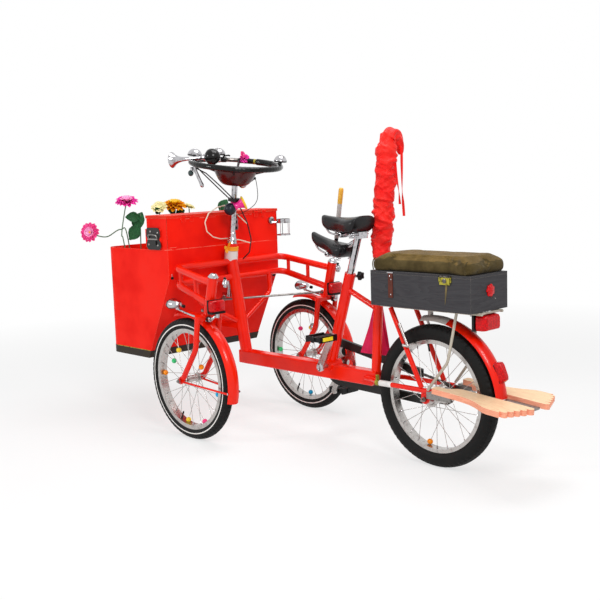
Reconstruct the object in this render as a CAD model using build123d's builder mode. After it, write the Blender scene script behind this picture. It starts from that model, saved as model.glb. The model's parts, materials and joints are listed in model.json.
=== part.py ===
"""Front-load cargo tricycle with a rear-facing passenger box, in millimetres.

+Z is up, -Y is forward and +X is the rider's left. The origin lies on the ground under the middle of
the vehicle's length. Heights are measured from the ground and lengths from the front axle.
"""
from build123d import *
from math import atan2, cos, degrees, hypot, radians, sin
import os

# ---------------------------------------------------------------- driving sizes
track = 662.0                   # between the front wheels' middle planes
wheelbase = 983.0
front_reach = 615.0             # cargo tub's nose ahead of the front axle
rear_reach = 432.0              # foot boards' toes behind the rear axle

front_wheel_r = 247.0
rear_wheel_r = 257.0
front_tyre_w = 44.0
rear_tyre_w = 54.0
bead_r = 201.0                  # where the tyre sits on the rim
rim_depth = 12.0
rim_flange = 8.0
rim_half = 17.5
rim_wall = 2.4
spoke_r = 1.1
spoke_count = 28

run_gap = 0.05                  # radial clearance of a turning fit
seat_gap = 0.3                  # clearance of seated curved faces
sheet = 2.0                     # pressed sheet, as in fenders and chain case

nose_flower = (385.0, -601.0, 825.0)          # head of the flower that leans over the tub's nose
flower_r = 42.0

front_axle_y = -(wheelbase + rear_reach + nose_flower[1] - flower_r) / 2


def at(back, up=0.0, left=0.0):
    """A point measured back from the front axle, up from the ground and left of the mid-plane."""
    return (left, front_axle_y + back, up)


# ---------------------------------------------------------------- frame sizes
beam_w, beam_h = 50.0, 56.0
beam_bottom = 256.0
beam_top = beam_bottom + beam_h
beam_front, beam_rear = -62.0, wheelbase - 267.0
down_tube_r = 25.0
down_foot, down_slope = -42.0, 0.19           # where its axis meets the beam's top, and its lean
seat_tube_r = 21.0
seat_foot, seat_slope, seat_tube_top = 464.0, 0.32, 672.0
rear_post_r, rear_post_y, rear_post_lean, rear_post_top = 18.0, wheelbase - 284.0, 0.07, 566.0
stay_z, stay_half, stay_tube_r, seat_stay_top = 287.0, 65.0, 9.0, wheelbase - 151.0
brake_high, brake_low = (wheelbase - 103.0, 518.0), (wheelbase - 64.0, 440.0)    # ends of the rear brake's arms
cross_r = 14.0
cross_y = -120.0
cross_half = 296.0
cross_high, cross_low = 686.0, 622.0          # heights of the upper and lower tubes
king_high, king_low = 641.0, 556.0            # where they meet the kingpins
stay_r = 9.0

column_y, column_z, column_slope = -107.0, 778.0, 0.1436   # a point on the steering axis, and its lean
head_top, head_bottom, head_r = 766.0, 690.0, 25.0
column_r = 12.5
steering_z = 1096.5
steering_ring_r, steering_grip_r = 186.0, 9.5
dish_drop, dish_h, dish_top_r, dish_low_r = 26.0, 56.0, 86.0, 44.0    # conical hub below the ring
spoke_bar_r = 6.0

king_slope = 0.255              # lean of the kingpins
king_y, king_bottom, king_top = 127.0, 518.0, 664.0
king_tube_r, king_pin_r = 20.0, 12.5
link_arm = 34.0                 # radius of the steering arms
link_pin_r, link_eye_r, link_rod_r = 3.5, 7.5, 4.5
link_column_z = 535.0
link_play = 1.6                 # room for the two axes' different lean in the outer eyes
crown_h = 16.0

axle_r = 5.0
fork_half = 54.0
fork_leg_r = 11.0
dropout_half = 3.5
front_hub_half, rear_hub_half = 38.0, 44.0
front_fender_w, rear_fender_w = 56.0, 62.0
nut_r, nut_w = 9.0, 9.0
axle_stub = 12.0

# ---------------------------------------------------------------- cargo box
tub_half, tub_wall = 306.0, 6.0
tub_rear, tub_knee, tub_foot = -153.0, 633.0, 331.0
tub_foot_y = -302.0
tub_bottom, tub_floor, tub_rim = 290.0, 322.0, 756.0
tub_corner_r = 60.0
chest_depth, chest_top, chest_wall = 138.0, 886.0, 6.0
lid_thick, lid_over = 12.0, 3.0
hinge_r, hinge_pin_r, knuckle = 4.0, 1.5, 22.0

# ---------------------------------------------------------------- rear box, drive and seats
box_half, box_front, box_rear = 104.0, wheelbase - 209.0, wheelbase + 226.0
box_height, box_wall = 115.7, 10.0
seat_board, cushion_h, cushion_over = 9.0, 54.0, 7.0
seat_post_r, saddle_clamp_z = 14.0, 812.0
saddle_nose, saddle_z, saddle_depth = 447.0, 866.0, 40.0
rail_r, rail_z = 3.5, 834.0                  # saddle rails
child_y, child_z = 492.0, 768.0              # small lower saddle
bracket_y, bracket_z = 474.0, 309.0          # crank axis
shell_r, shell_half, spindle_r = 21.0, 33.0, 8.0
crank_len, crank_angle, crank_x = 145.0, 27.0, 70.0
case_half, crank_half, pedal_out = 7.0, 5.0, 172.0
chain_x = -49.0
chainring_r, sprocket_r = 76.0, 38.0
rack_half, rack_z, rack_r = 58.0, 574.0, 5.0
box_bottom = rack_z + rack_r + seat_gap
box_top = box_bottom + box_height
rack_strut, stay_lead, cross_bar_r = 134.0, 23.0, 4.0     # behind and ahead of the rear axle
fender_stay = wheelbase - stay_lead
lamp_lead, lamp_bottom, lamp_half = 20.0, 530.0, 45.0     # lamp block ahead of the box's rear
parasol_foot, parasol_tip = (wheelbase - 313.0, 366.0, -31.0), (wheelbase - 332.0, 1178.0, -146.0)

board_heel, board_heel_z, board_fall, board_thick = wheelbase + 57.0, 312.0, 0.08, 19.0
board_inner, board_outer, board_ball = 34.0, 108.0, 158.0

# ---------------------------------------------------------------- small fittings and cables
cable_r, collar_r, collar_top, collar_h = 2.5, 26.0, 956.0, 12.0
horn_bulb, horn_mouth, horn_clamp = (110.0, -80.0, 1131.0), (178.0, -261.0, 1124.0), 322.0
toy_bulb, toy_mouth = (37.0, -67.0, 912.0), (-12.0, -34.0, 937.0)
bells = ((307.0, 26.0), (250.0, 30.0), (142.0, 22.0))         # angle around the ring, and radius
lever_points = ((152, -136, 1112), (150, -152, 1088), (116, -143, 1007))
lever_cable = ((144, -146, 1094), (118, -132, 1062), (62, -110, 1002), (14, -98, collar_top))
bell_cable = ((140, -150, 1086), (97, -140, 1064), (56, -106, 1012), (16, -72, collar_top))
brake_cable_points = ((-22, -95, collar_top - collar_h - 3), (-47, -93, 905), (-57, -68, 848), (-72, -65, 780), (-66, -72, 722),
                      (-54, -108, 690))
gear_cable_points = ((-56, -70, 846), (-30, -118, 896), (12, -128, 927), (62, -120, 921), (110, -120, 898),
                     (132, -120, 862), (122, -122, 822), (86, -126, 797), (42, -134, 786), (-2, -139, 784),
                     (-42, -104, 776), (-70, -67, 762))
stem_r = 2.5
flower_stems = (((250, -470, 328), (284, -495, 760), (294, -500, 812), (270, -500, 912), (258, -500, 946)),
                ((215, -500, 328), (240, -530, 785), (266, -545, 832), (318, -575, 803), (362, -597, 812), (383, -601, 823)),
                ((-57, -570, 328), (-57, -571, 905)), ((30, -570, 328), (30, -571, 918)),
                ((-142, -562, 328), (-142, -563, 914)), ((-245, -478, 328), (-250, -480, 908)),
                ((225, -472, 328), (214, -471, 800), (208, -470, 900)))
flower_heads = (((257, -500, 951), (0.6, 0.75, 0.25), flower_r + 2), (nose_flower, (0.95, 0.2, 0.2), flower_r),
                ((-57, -571, 909), (0.4, 0.6, 0.7), 32.0), ((30, -571, 921), (0.3, 0.5, 0.8), 24.0),
                ((-142, -563, 917), (0.3, 0.5, 0.8), 24.0), ((-250, -480, 911), (0.3, 0.5, 0.8), 26.0),
                ((208, -470, 890), (0.7, 0.7, 0.1), 34.0), ((213, -471, 826), (0.7, 0.7, -0.1), 30.0))
cup_centre, cup_r, cup_low, cup_high = (-309.0, -113.0), 31.0, 778.0, 851.0
cup_wall, cup_band, cup_arm_r = 2.0, 18.0, 5.0


def placed(points):
    """Points given as left, back and up, moved into the part's frame."""
    return [at(back, up, left) for left, back, up in points]


def column_axis(up):
    """The steering axis' point at a height."""
    return at(column_y + (up - column_z) * column_slope, up)


def king_axis(up, side=1):
    """A kingpin axis' point at a height, on the left for side 1."""
    return at(king_y + (up - king_bottom) * king_slope, up, side * track / 2)


def tilted(point, slope):
    """A plane through a point whose normal leans back by the slope, with X to the left."""
    return Plane(origin=point, x_dir=(1, 0, 0), z_dir=(0, slope, 1))


def bar(start, end, radius, bore=0.0):
    """A straight round bar or tube from point to point."""
    run = Vector(*end) - Vector(*start)
    with BuildPart() as piece:
        with BuildSketch(Plane(origin=start, z_dir=run)):
            Circle(radius)
            if bore:
                Circle(bore, mode=Mode.SUBTRACT)
        extrude(amount=run.length)
    return piece.part


def bent_bar(points, radius, bends):
    """A round bar along straight runs joined by tangent arcs."""
    with BuildPart() as piece:
        with BuildLine() as path:
            FilletPolyline(*points, radius=bends)
        with BuildSketch(Plane(origin=path.line @ 0, z_dir=path.line % 0)):
            Circle(radius)
        sweep(path=path.line)
    return piece.part


def block(low, high):
    """A plain rectangular block between two corners."""
    size = Vector(*high) - Vector(*low)
    with BuildPart() as piece:
        with Locations(Vector(*low) + size * 0.5):
            Box(size.X, size.Y, size.Z)
    return piece.part


def turned(profile, centre, direction=(1, 0, 0)):
    """A solid turned from (along, radius) corners about an axis through a centre."""
    plane = Plane(origin=centre, x_dir=direction, z_dir=Vector(*direction).cross(Vector(0, 0.31, 0.95)))
    with BuildPart() as piece:
        with BuildSketch(plane):
            with BuildLine():
                Polyline(*profile, close=True)
            make_face()
        revolve(axis=Axis(centre, direction))
    return piece.part


def mirrored(part):
    """The same piece on the other side of the mid-plane."""
    return mirror(part, about=Plane.YZ)

def tyre(hub, radius, width):
    """A tyre with its bead foot, on an axle point."""
    middle = radius - width / 2
    foot = rim_half - rim_wall - seat_gap
    with BuildPart() as piece:
        with BuildSketch(Plane(origin=hub, x_dir=(1, 0, 0), z_dir=(0, -1, 0))):
            with Locations((0, middle)):
                Circle(width / 2)
            with Locations((0, (middle + bead_r) / 2)):
                Rectangle(2 * foot, middle - bead_r)
            with Locations((0, bead_r / 2)):
                Rectangle(2 * width, bead_r, mode=Mode.SUBTRACT)
            for side in (1, -1):
                with Locations((side * (foot + width / 2), bead_r + rim_flange / 2)):
                    Rectangle(width, rim_flange + 2 * seat_gap, mode=Mode.SUBTRACT)
        revolve(axis=Axis(hub, (1, 0, 0)))
    return piece.part


def spoked_rim(hub, hub_half, flange_r, barrel_r, bore):
    """A channel rim laced to a flanged hub with straight wire spokes."""
    channel = [(-rim_half, bead_r + rim_flange), (-rim_half, bead_r - rim_depth),
               (rim_half, bead_r - rim_depth), (rim_half, bead_r + rim_flange),
               (rim_half - rim_wall, bead_r + rim_flange), (rim_half - rim_wall, bead_r),
               (rim_wall - rim_half, bead_r), (rim_wall - rim_half, bead_r + rim_flange)]
    flange_in, flange_out = hub_half - 9, hub_half - 5
    spool = [(-hub_half, bore), (-hub_half, barrel_r - 3), (-flange_out, barrel_r), (-flange_out, flange_r),
             (-flange_in, flange_r), (-flange_in, barrel_r), (flange_in, barrel_r), (flange_in, flange_r),
             (flange_out, flange_r), (flange_out, barrel_r), (hub_half, barrel_r - 3), (hub_half, bore)]
    lace_r = flange_r - 3
    wires = []
    for number in range(spoke_count):
        side = 1 if number % 2 else -1
        angle = radians(360 * number / spoke_count)
        lead = radians(62) * (1 if number % 4 < 2 else -1)
        start = Vector(*hub) + Vector(side * (flange_in + flange_out) / 2,
                                      lace_r * cos(angle + lead), lace_r * sin(angle + lead))
        end_r = bead_r - rim_depth + 1
        end = Vector(*hub) + Vector(side * 3, end_r * cos(angle), end_r * sin(angle))
        wires.append(bar(start, end, spoke_r))
    return [turned(channel, hub), turned(spool, hub)] + wires


def fender(hub, radius, width, first, last):
    """A crowned strip of sheet over a wheel, between two angles from straight behind."""
    crown = width * 0.28
    start = Plane(origin=hub, x_dir=(1, 0, 0), z_dir=(0, -sin(radians(first)), cos(radians(first))))
    with BuildPart() as piece:
        with BuildSketch(start):
            with BuildLine():
                outer = ThreePointArc((-width / 2, radius), (0, radius + crown), (width / 2, radius))
                inner = ThreePointArc((width / 2 - sheet, radius), (0, radius + crown - sheet),
                                      (sheet - width / 2, radius))
                Line(outer @ 1, inner @ 0)
                Line(inner @ 1, outer @ 0)
            make_face()
        revolve(axis=Axis(hub, (1, 0, 0)), revolution_arc=last - first)
    return piece.part


def hinge(centre, direction, knuckle, radius, pin_r):
    """Fixed and moving knuckles of a butt hinge: two outer ones with the pin, and a middle one."""
    along = Vector(*direction)
    middle = Vector(*centre)
    fixed = [bar(middle + along * (side * (knuckle / 2 + seat_gap)),
                 middle + along * (side * 1.5 * knuckle), radius) for side in (1, -1)]
    fixed.append(bar(middle - along * (1.4 * knuckle), middle + along * (1.4 * knuckle), pin_r))
    moving = bar(middle - along * (knuckle / 2), middle + along * (knuckle / 2), radius, pin_r + run_gap)
    return fixed, moving


# ---------------------------------------------------------------- frame
bracket = at(bracket_y, bracket_z)
rear_hub = at(wheelbase, rear_wheel_r)
front_hub = at(0, front_wheel_r, track / 2)


def down_axis(up):
    """The down tube's axis at a height."""
    return at(down_foot - down_slope * (up - beam_top), up)


with BuildPart() as main_beam:
    add(block((-beam_w / 2, at(beam_front)[1], beam_bottom), (beam_w / 2, at(beam_rear)[1], beam_top)))
    chamfer(main_beam.edges().filter_by(Axis.X).group_by(Axis.Y)[-1].sort_by(Axis.Z)[0], beam_h * 0.4)
    fillet(main_beam.edges().filter_by(Axis.Y), 6)
    add(bar(at(bracket_y, bracket_z, -shell_half), at(bracket_y, bracket_z, shell_half), shell_r))
    add(bar(at(bracket_y, bracket_z, -shell_half - 1), at(bracket_y, bracket_z, shell_half + 1),
            spindle_r + run_gap), mode=Mode.SUBTRACT)

with BuildPart() as down_tube:
    add(bar(down_axis(beam_top - 4), down_axis(head_bottom + 12), down_tube_r))
    add(bar(column_axis(head_bottom), column_axis(head_top), head_r))
    add(bar(column_axis(link_column_z - 60), column_axis(head_bottom), column_r + 1.5), mode=Mode.SUBTRACT)
    add(bar(column_axis(head_bottom - 1), column_axis(head_top + 1), column_r + run_gap), mode=Mode.SUBTRACT)
    add(main_beam.part, mode=Mode.SUBTRACT)

with BuildPart() as seat_tube:
    seat_top = at(seat_foot + seat_slope * (seat_tube_top - beam_top), seat_tube_top)
    add(bar(at(seat_foot, beam_top), seat_top, seat_tube_r, seat_post_r))
    add(bar(at(bracket_y, bracket_z, -shell_half), at(bracket_y, bracket_z, shell_half), shell_r),
        mode=Mode.SUBTRACT)
    with BuildSketch(Plane.XY.offset(beam_top)):
        with Locations(at(seat_foot)):
            Rectangle(90, 120)
    extrude(amount=-20, mode=Mode.SUBTRACT)

with BuildPart() as rear_post:
    post_head = rear_post_y + rear_post_lean * (rear_post_top - beam_top)
    add(bar(at(rear_post_y - rear_post_lean * 4, beam_top - 4), at(post_head, rear_post_top), rear_post_r))
    link_low = at(post_head - rear_post_r + 6, rear_post_top - 16)
    link_high = at(seat_foot + seat_slope * (606 - beam_top) + seat_tube_r - 4, 606)
    add(bar(link_high, link_low, 11))
    add(seat_tube.part, mode=Mode.SUBTRACT)
    add(main_beam.part, mode=Mode.SUBTRACT)

with BuildPart() as rear_stays:
    for side in (1, -1):
        chain_stay = [at(beam_rear - 46, stay_z, side * (beam_w / 2 + 4)), at(beam_rear - 6, stay_z, side * 36),
                      at(beam_rear + 66, stay_z, side * stay_half), at(wheelbase + 26, stay_z, side * stay_half)]
        add(bent_bar(chain_stay, stay_tube_r, 22))
        add(bar(at(seat_stay_top, rack_z - rack_r, side * stay_half),
                at(wheelbase - 16, stay_z + 8, side * stay_half), stay_tube_r))
        near, far = sorted((side * (stay_half - dropout_half), side * (stay_half + dropout_half)))
        add(bar((near,) + rear_hub[1:], (far,) + rear_hub[1:], 17))
        add(block(at(wheelbase - 16, rear_wheel_r, near), at(wheelbase + 16, stay_z, far)))
    add(bar((-80,) + rear_hub[1:], (80,) + rear_hub[1:], axle_r), mode=Mode.SUBTRACT)
    add(main_beam.part, mode=Mode.SUBTRACT)

with BuildPart() as rear_axle:
    nut_in = stay_half + dropout_half
    axle_end = nut_in + nut_w + axle_stub
    add(bar((-axle_end,) + rear_hub[1:], (axle_end,) + rear_hub[1:], axle_r))
    for side in (1, -1):
        add(bar((side * nut_in,) + rear_hub[1:], (side * (nut_in + nut_w),) + rear_hub[1:], nut_r))

with BuildPart() as left_cross:
    for corner_z, king_z in ((cross_high, king_high), (cross_low, king_low)):
        add(bent_bar([down_axis(corner_z), at(cross_y, corner_z, cross_half), king_axis(king_z)], cross_r, 45))
    for back, rise in ((cross_y + 40, 0.15), (cross_y + 150, 0.56)):
        add(bar(at(back, cross_low - rise * (cross_low - king_low), cross_half + rise * 30),
                at(back, cross_high - rise * (cross_high - king_high), cross_half + rise * 30), 8))
    add(bent_bar([at(cross_y + 12, cross_low, 206), at(cross_y + 22, 537, 200), down_axis(426)], stay_r, 30))
    add(bar(king_axis(king_bottom), king_axis(king_top), king_tube_r))
    add(bar(king_axis(king_bottom - 9), king_axis(king_top + 9), king_pin_r + run_gap), mode=Mode.SUBTRACT)
    add(down_tube.part, mode=Mode.SUBTRACT)
    add(bar(column_axis(link_column_z - 60), column_axis(head_top), column_r + 1.5), mode=Mode.SUBTRACT)
    split(bisect_by=Plane.YZ, keep=Keep.TOP)

with BuildPart() as right_cross:
    add(mirrored(left_cross.part))

with BuildPart() as seat_post:
    post_top = at(seat_foot + seat_slope * (saddle_clamp_z - beam_top), saddle_clamp_z)
    add(bar(at(seat_foot + seat_slope * (seat_tube_top - 90 - beam_top), seat_tube_top - 90), post_top,
            seat_post_r - run_gap))
    add(block(at(post_top[1] - front_axle_y - 26, saddle_clamp_z - 6, -24),
              at(post_top[1] - front_axle_y + 26, rail_z - rail_r - seat_gap, 24)))
    child_post = at(child_y, child_z - 34)
    add(bar(at(post_top[1] - front_axle_y - 8, saddle_clamp_z - 14), child_post, 9))
    add(bar(child_post, at(child_y, child_z - 14), 12))


def saddle(nose_y, nose_z, length, half_width, rise):
    """A narrow-nosed saddle, lofted from its nose to its wide rear."""
    stations = ((0.0, 0.26, 0.75), (0.18, 0.34, 1.0), (0.5, 0.5, 0.9), (0.78, 1.0, 1.05), (0.97, 0.94, 0.8))
    with BuildPart() as piece:
        for share, width, depth in stations:
            place = at(nose_y + share * length, nose_z + share * rise)
            with BuildSketch(Plane(origin=place, x_dir=(1, 0, 0), z_dir=(0, 1, 0))):
                Ellipse(half_width * width, saddle_depth / 2 * depth)
        loft()
    return piece.part


with BuildPart() as upper_saddle:
    add(saddle(saddle_nose, saddle_z, 215, 66, -4))
    for side in (1, -1):
        add(bent_bar([at(saddle_nose + 60, saddle_z - 8, side * 12), at(saddle_nose + 120, rail_z, side * 20),
                      at(saddle_nose + 178, rail_z, side * 20), at(saddle_nose + 190, saddle_z, side * 24)], rail_r, 10))

with BuildPart() as lower_saddle:
    add(saddle(child_y - 105, child_z + 20, 190, 56, -36))
    add(bar(at(child_y, child_z - 14), at(child_y, child_z + 2), 14))
    add(seat_post.part, mode=Mode.SUBTRACT)

with BuildPart() as cane:
    add(bar(at(440, 728, -62), at(485, 992, -62), 8))
    add(bar(at(443, 748, -62), at(child_y, child_z - 22, -10), 4))
    add(seat_post.part, mode=Mode.SUBTRACT)

# ---------------------------------------------------------------- cargo box
def tub_form(inset, low, high):
    """The tub's outline drawn in by a wall, between two heights."""
    slant = (tub_rear - tub_foot_y) / (tub_knee - tub_foot)
    reach = slant * (tub_knee - low)
    lean = inset * hypot(1, slant)
    front = at(-front_reach + inset)[1]
    rear = at(tub_rear - inset)[1]
    with BuildPart() as piece:
        with BuildSketch(Plane.XY.offset(low)):
            with Locations((0, (front + rear) / 2)):
                Rectangle(2 * (tub_half - inset), rear - front)
        extrude(amount=high - low)
        fillet(piece.edges().filter_by(Axis.Z).group_by(Axis.Y)[0], tub_corner_r - inset)
        with BuildSketch(Plane.YZ):
            edge_low, edge_high = rear + inset - reach - lean, rear + inset - lean
            Polygon((edge_low, low), (edge_high, tub_knee), (edge_high + 400, tub_knee),
                    (edge_high + 400, low), align=None)
        extrude(amount=400, both=True, mode=Mode.SUBTRACT)
    return piece.part


with BuildPart() as cargo_tub:
    add(tub_form(0, tub_floor, tub_rim))
    add(tub_form(tub_wall, tub_floor + tub_wall, tub_rim + 1), mode=Mode.SUBTRACT)

with BuildPart() as tub_base:
    add(tub_form(-1, tub_bottom, tub_floor))
    add(tub_form(14, tub_bottom - 1, tub_floor + 1), mode=Mode.SUBTRACT)

with BuildPart() as tub_brackets:
    for side in (1, -1):
        for up in (cross_high, cross_low):
            if up > tub_knee:
                add(block(at(tub_rear, up - 12, side * 150 - 14), at(cross_y - 8, up + 12, side * 150 + 14)))
    slant_y = tub_rear - (tub_knee - 420) * (tub_rear - tub_foot_y) / (tub_knee - tub_foot)
    add(block(at(slant_y + 4, 404, -20), at(down_axis(420)[1] - front_axle_y, 424, 20)))
    add(cargo_tub.part, mode=Mode.SUBTRACT)
    add(down_tube.part, mode=Mode.SUBTRACT)
    add(left_cross.part, mode=Mode.SUBTRACT)
    add(right_cross.part, mode=Mode.SUBTRACT)

chest_rear, chest_front = at(tub_rear)[1], at(tub_rear - chest_depth)[1]
with BuildPart() as chest:
    add(block((-tub_half, chest_front, tub_rim), (tub_half, chest_rear, chest_top)))
    add(block((chest_wall - tub_half, chest_front + chest_wall, tub_rim + chest_wall),
              (tub_half - chest_wall, chest_rear - chest_wall, chest_top + 1)), mode=Mode.SUBTRACT)

chest_hinge = [hinge((side * 200, chest_rear + lid_over + hinge_r - 1, chest_top + 3), (1, 0, 0), knuckle, hinge_r, hinge_pin_r)
               for side in (1, -1)]
with BuildPart() as chest_lid:
    add(block((-tub_half - lid_over, chest_front - lid_over, chest_top + seat_gap),
              (tub_half + lid_over, chest_rear + lid_over, chest_top + lid_thick)))
    for side in (1, -1):
        add(block((side * 200 - 34, chest_rear - 8, chest_top - 1), (side * 200 + 34, chest_rear + 12, chest_top + 8)),
            mode=Mode.SUBTRACT)
    for fixed, moving in chest_hinge:
        add(moving)
        centre = moving.center()
        add(block((centre.X - 11, chest_rear - 9, centre.Z + 1), (centre.X + 11, centre.Y, centre.Z + hinge_r)))
    for fixed, moving in chest_hinge:
        centre = moving.center()
        add(bar((centre.X - 12, centre.Y, centre.Z), (centre.X + 12, centre.Y, centre.Z), hinge_pin_r + run_gap),
            mode=Mode.SUBTRACT)

with BuildPart() as chest_fittings:
    for fixed, moving in chest_hinge:
        centre = moving.center()
        for piece in fixed:
            add(piece)
        for side in (1, -1):
            low, high = sorted((centre.X + side * 12.5, centre.X + side * 31))
            add(block((low, chest_rear, centre.Z - 22), (high, centre.Y - 1, centre.Z)))
    add(block((tub_half, at(-296)[1], 768), (tub_half + 5, at(-197)[1], 842)))

# ---------------------------------------------------------------- rear box, rack and foot boards
box_y0, box_y1 = at(box_front)[1], at(box_rear)[1]
with BuildPart() as rear_box:
    add(block((-box_half, box_y0, box_bottom), (box_half, box_y1, box_top)))
    add(block((box_wall - box_half, box_y0 + box_wall, box_bottom + box_wall),
              (box_half - box_wall, box_y1 - box_wall, box_top + 1)), mode=Mode.SUBTRACT)

lid_hinge = [hinge((-box_half - hinge_r, at(back)[1], box_top + 1), (0, 1, 0), knuckle, hinge_r, hinge_pin_r)
             for back in (box_front + 90, box_rear - 90)]
with BuildPart() as seat_board_lid:
    add(block((-box_half, box_y0, box_top + seat_gap), (box_half, box_y1, box_top + seat_board)))
    for fixed, moving in lid_hinge:
        centre = moving.center()
        add(block((-box_half - 1, centre.Y - 34, box_top), (-box_half + 6, centre.Y + 34, box_top + seat_board - 3)),
            mode=Mode.SUBTRACT)
    for fixed, moving in lid_hinge:
        centre = moving.center()
        add(moving)
        add(block((centre.X, centre.Y - 11, centre.Z + 1), (-box_half + 7, centre.Y + 11, centre.Z + hinge_r)))
    for fixed, moving in lid_hinge:
        centre = moving.center()
        add(bar((centre.X, centre.Y - 12, centre.Z), (centre.X, centre.Y + 12, centre.Z), hinge_pin_r + run_gap),
            mode=Mode.SUBTRACT)

with BuildPart() as cushion:
    add(block((-box_half - cushion_over, box_y0 - cushion_over, box_top + seat_board),
              (box_half + cushion_over, box_y1 + cushion_over, box_top + seat_board + cushion_h)))
    fillet(cushion.edges().filter_by(Axis.Z), 14)
    fillet(cushion.faces().sort_by(Axis.Z)[-1].edges(), 16)

with BuildPart() as box_fittings:
    for fixed, moving in lid_hinge:
        centre = moving.center()
        for piece in fixed:
            add(piece)
        for side in (1, -1):
            low, high = sorted((centre.Y + side * 12.5, centre.Y + side * 31))
            add(block((centre.X + 1, low, centre.Z - 24), (-box_half, high, centre.Z)))
    add(block(at(box_front + 82, box_bottom + 8, box_half), at(box_front + 104, box_top - 14, box_half + 3)))
    add(block(at(box_rear - 115, box_top - 46, box_half), at(box_rear - 65, box_top - 12, box_half + 5)))

with BuildPart() as rear_rack:
    for side in (1, -1):
        add(bar(at(box_front + 6, rack_z, side * rack_half), at(box_rear + 12, rack_z, side * rack_half), rack_r))
        add(bent_bar([at(wheelbase + rack_strut, rack_z, side * rack_half),
                      at(wheelbase + rack_strut - 28, 401, side * (stay_half + 9)),
                      at(wheelbase + 22, stay_z + 8, side * (stay_half + stay_tube_r + rack_r))], rack_r, 60))
    for back in (box_front + 12, fender_stay, wheelbase + rack_strut - 17, box_rear + 2):
        add(bar(at(back, rack_z, -rack_half), at(back, rack_z, rack_half), cross_bar_r))
    add(rear_stays.part, mode=Mode.SUBTRACT)

fender_r = rear_wheel_r + 15
with BuildPart() as rear_fender:
    add(fender(rear_hub, fender_r, rear_fender_w, 6, 76))

with BuildPart() as fender_front:
    add(fender(rear_hub, fender_r, rear_fender_w, 76.2, 100))
    add(block(at(fender_stay - 6, fender_r + rear_wheel_r + 12, -8), at(fender_stay + 6, rack_z, 8)))
    add(rear_rack.part, mode=Mode.SUBTRACT)

with BuildPart() as rear_lamps:
    add(block(at(box_rear - lamp_lead, lamp_bottom, -lamp_half),
              at(box_rear + lamp_lead / 2, rack_z - cross_bar_r - seat_gap, lamp_half)))
    fillet(rear_lamps.edges().filter_by(Axis.Y), 8)
    lamp_plane = Plane(origin=at(wheelbase, rear_wheel_r), x_dir=(1, 0, 0), z_dir=(0, cos(radians(22)), sin(radians(22))))
    with BuildSketch(lamp_plane.offset(fender_r + rear_fender_w * 0.28)):
        with Locations((0, 6)):
            RectangleRounded(34, 84, 6)
    extrude(amount=32)
    add(rear_fender.part, mode=Mode.SUBTRACT)

board_pitch = degrees(atan2(board_fall, 1))
board_plane = Plane(origin=at(board_heel, board_heel_z), x_dir=(1, 0, 0), z_dir=(0, board_fall, 1))
with BuildPart() as foot_boards:
    length = (wheelbase + rear_reach - board_heel) / cos(radians(board_pitch))
    for side in (1, -1):
        with BuildSketch(board_plane):
            with BuildLine():
                Polyline((side * board_inner, 70), (side * board_outer, 70), (side * (board_outer + 4), 160),
                         (side * board_ball, 255), (side * board_ball, length - 62),
                         (side * board_inner, length - 14), close=True)
            make_face()
        extrude(amount=-board_thick)
        with BuildSketch(board_plane):
            with BuildLine():
                Polyline((side * (stay_half + 6), 0), (side * board_outer, 0), (side * board_outer, 71),
                         (side * board_inner, 71), (side * (stay_half + 6), 46), close=True)
            make_face()
        extrude(amount=-board_thick)
        with BuildSketch(board_plane):
            for inset, reach in ((13, 11), (38, 10), (61, 10), (83, 10), (105, 9)):
                toe = length - 14 - (inset - 13) * 0.42
                with Locations((side * (board_inner + inset), toe - reach + 6)):
                    Circle(reach + 2)
        extrude(amount=-board_thick)

with BuildPart() as board_straps:
    under = board_plane.offset(-board_thick)
    strap_inner = stay_half + dropout_half + seat_gap
    for side in (1, -1):
        with BuildSketch(under):
            with Locations((side * (strap_inner + 12), 50)):
                Rectangle(24, 130)
        extrude(amount=-4)
        near, far = sorted((side * strap_inner, side * (strap_inner + 6)))
        add(block(at(wheelbase + nut_r + 3, stay_z - 25, near), at(board_heel + 56, stay_z + 1, far)))
    with BuildSketch(under):
        with Locations((0, length - 110)):
            Rectangle(2 * board_outer, 24)
    extrude(amount=-4)
    with BuildSketch(under):
        with Locations((0, length - 90)):
            Rectangle(2 * board_inner - 20, 124)
    extrude(amount=8)
    for part in (foot_boards.part, rear_stays.part, rear_rack.part):
        add(part, mode=Mode.SUBTRACT)

with BuildPart() as parasol:
    lower, upper = at(*parasol_foot), at(*parasol_tip)
    shaft = Vector(*upper) - Vector(*lower)
    rings = ((0.0, 7, 66), (0.1, 8, 44), (0.235, 9, 16), (0.4, 14, 16), (0.47, 30, 30), (0.52, 36, 36),
             (0.96, 37, 37), (1.0, 26, 26))     # share of the height, half-width in X and in Y
    for share, wide, deep in rings:
        with BuildSketch(Plane(origin=Vector(*lower) + shaft * share, x_dir=(1, 0, 0), z_dir=(0, 0, 1))):
            Ellipse(wide, deep)
    loft(ruled=True)

# ---------------------------------------------------------------- drive
side_plane = Plane(origin=(chain_x, 0, 0), x_dir=(0, 1, 0), z_dir=(1, 0, 0))


def chain_loop(grow, half):
    """The chain line's outline, grown outwards, as a plate about the chain's middle plane."""
    with BuildPart() as piece:
        with BuildSketch(side_plane):
            with Locations((bracket[1], bracket[2])):
                Circle(chainring_r + grow)
            with Locations((rear_hub[1], rear_hub[2])):
                Circle(sprocket_r + grow)
            make_hull()
        extrude(amount=half, both=True)
    return piece.part


with BuildPart() as chain:
    add(chain_loop(8, 3.5))
    add(chain_loop(0.5, 4.5), mode=Mode.SUBTRACT)

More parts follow.
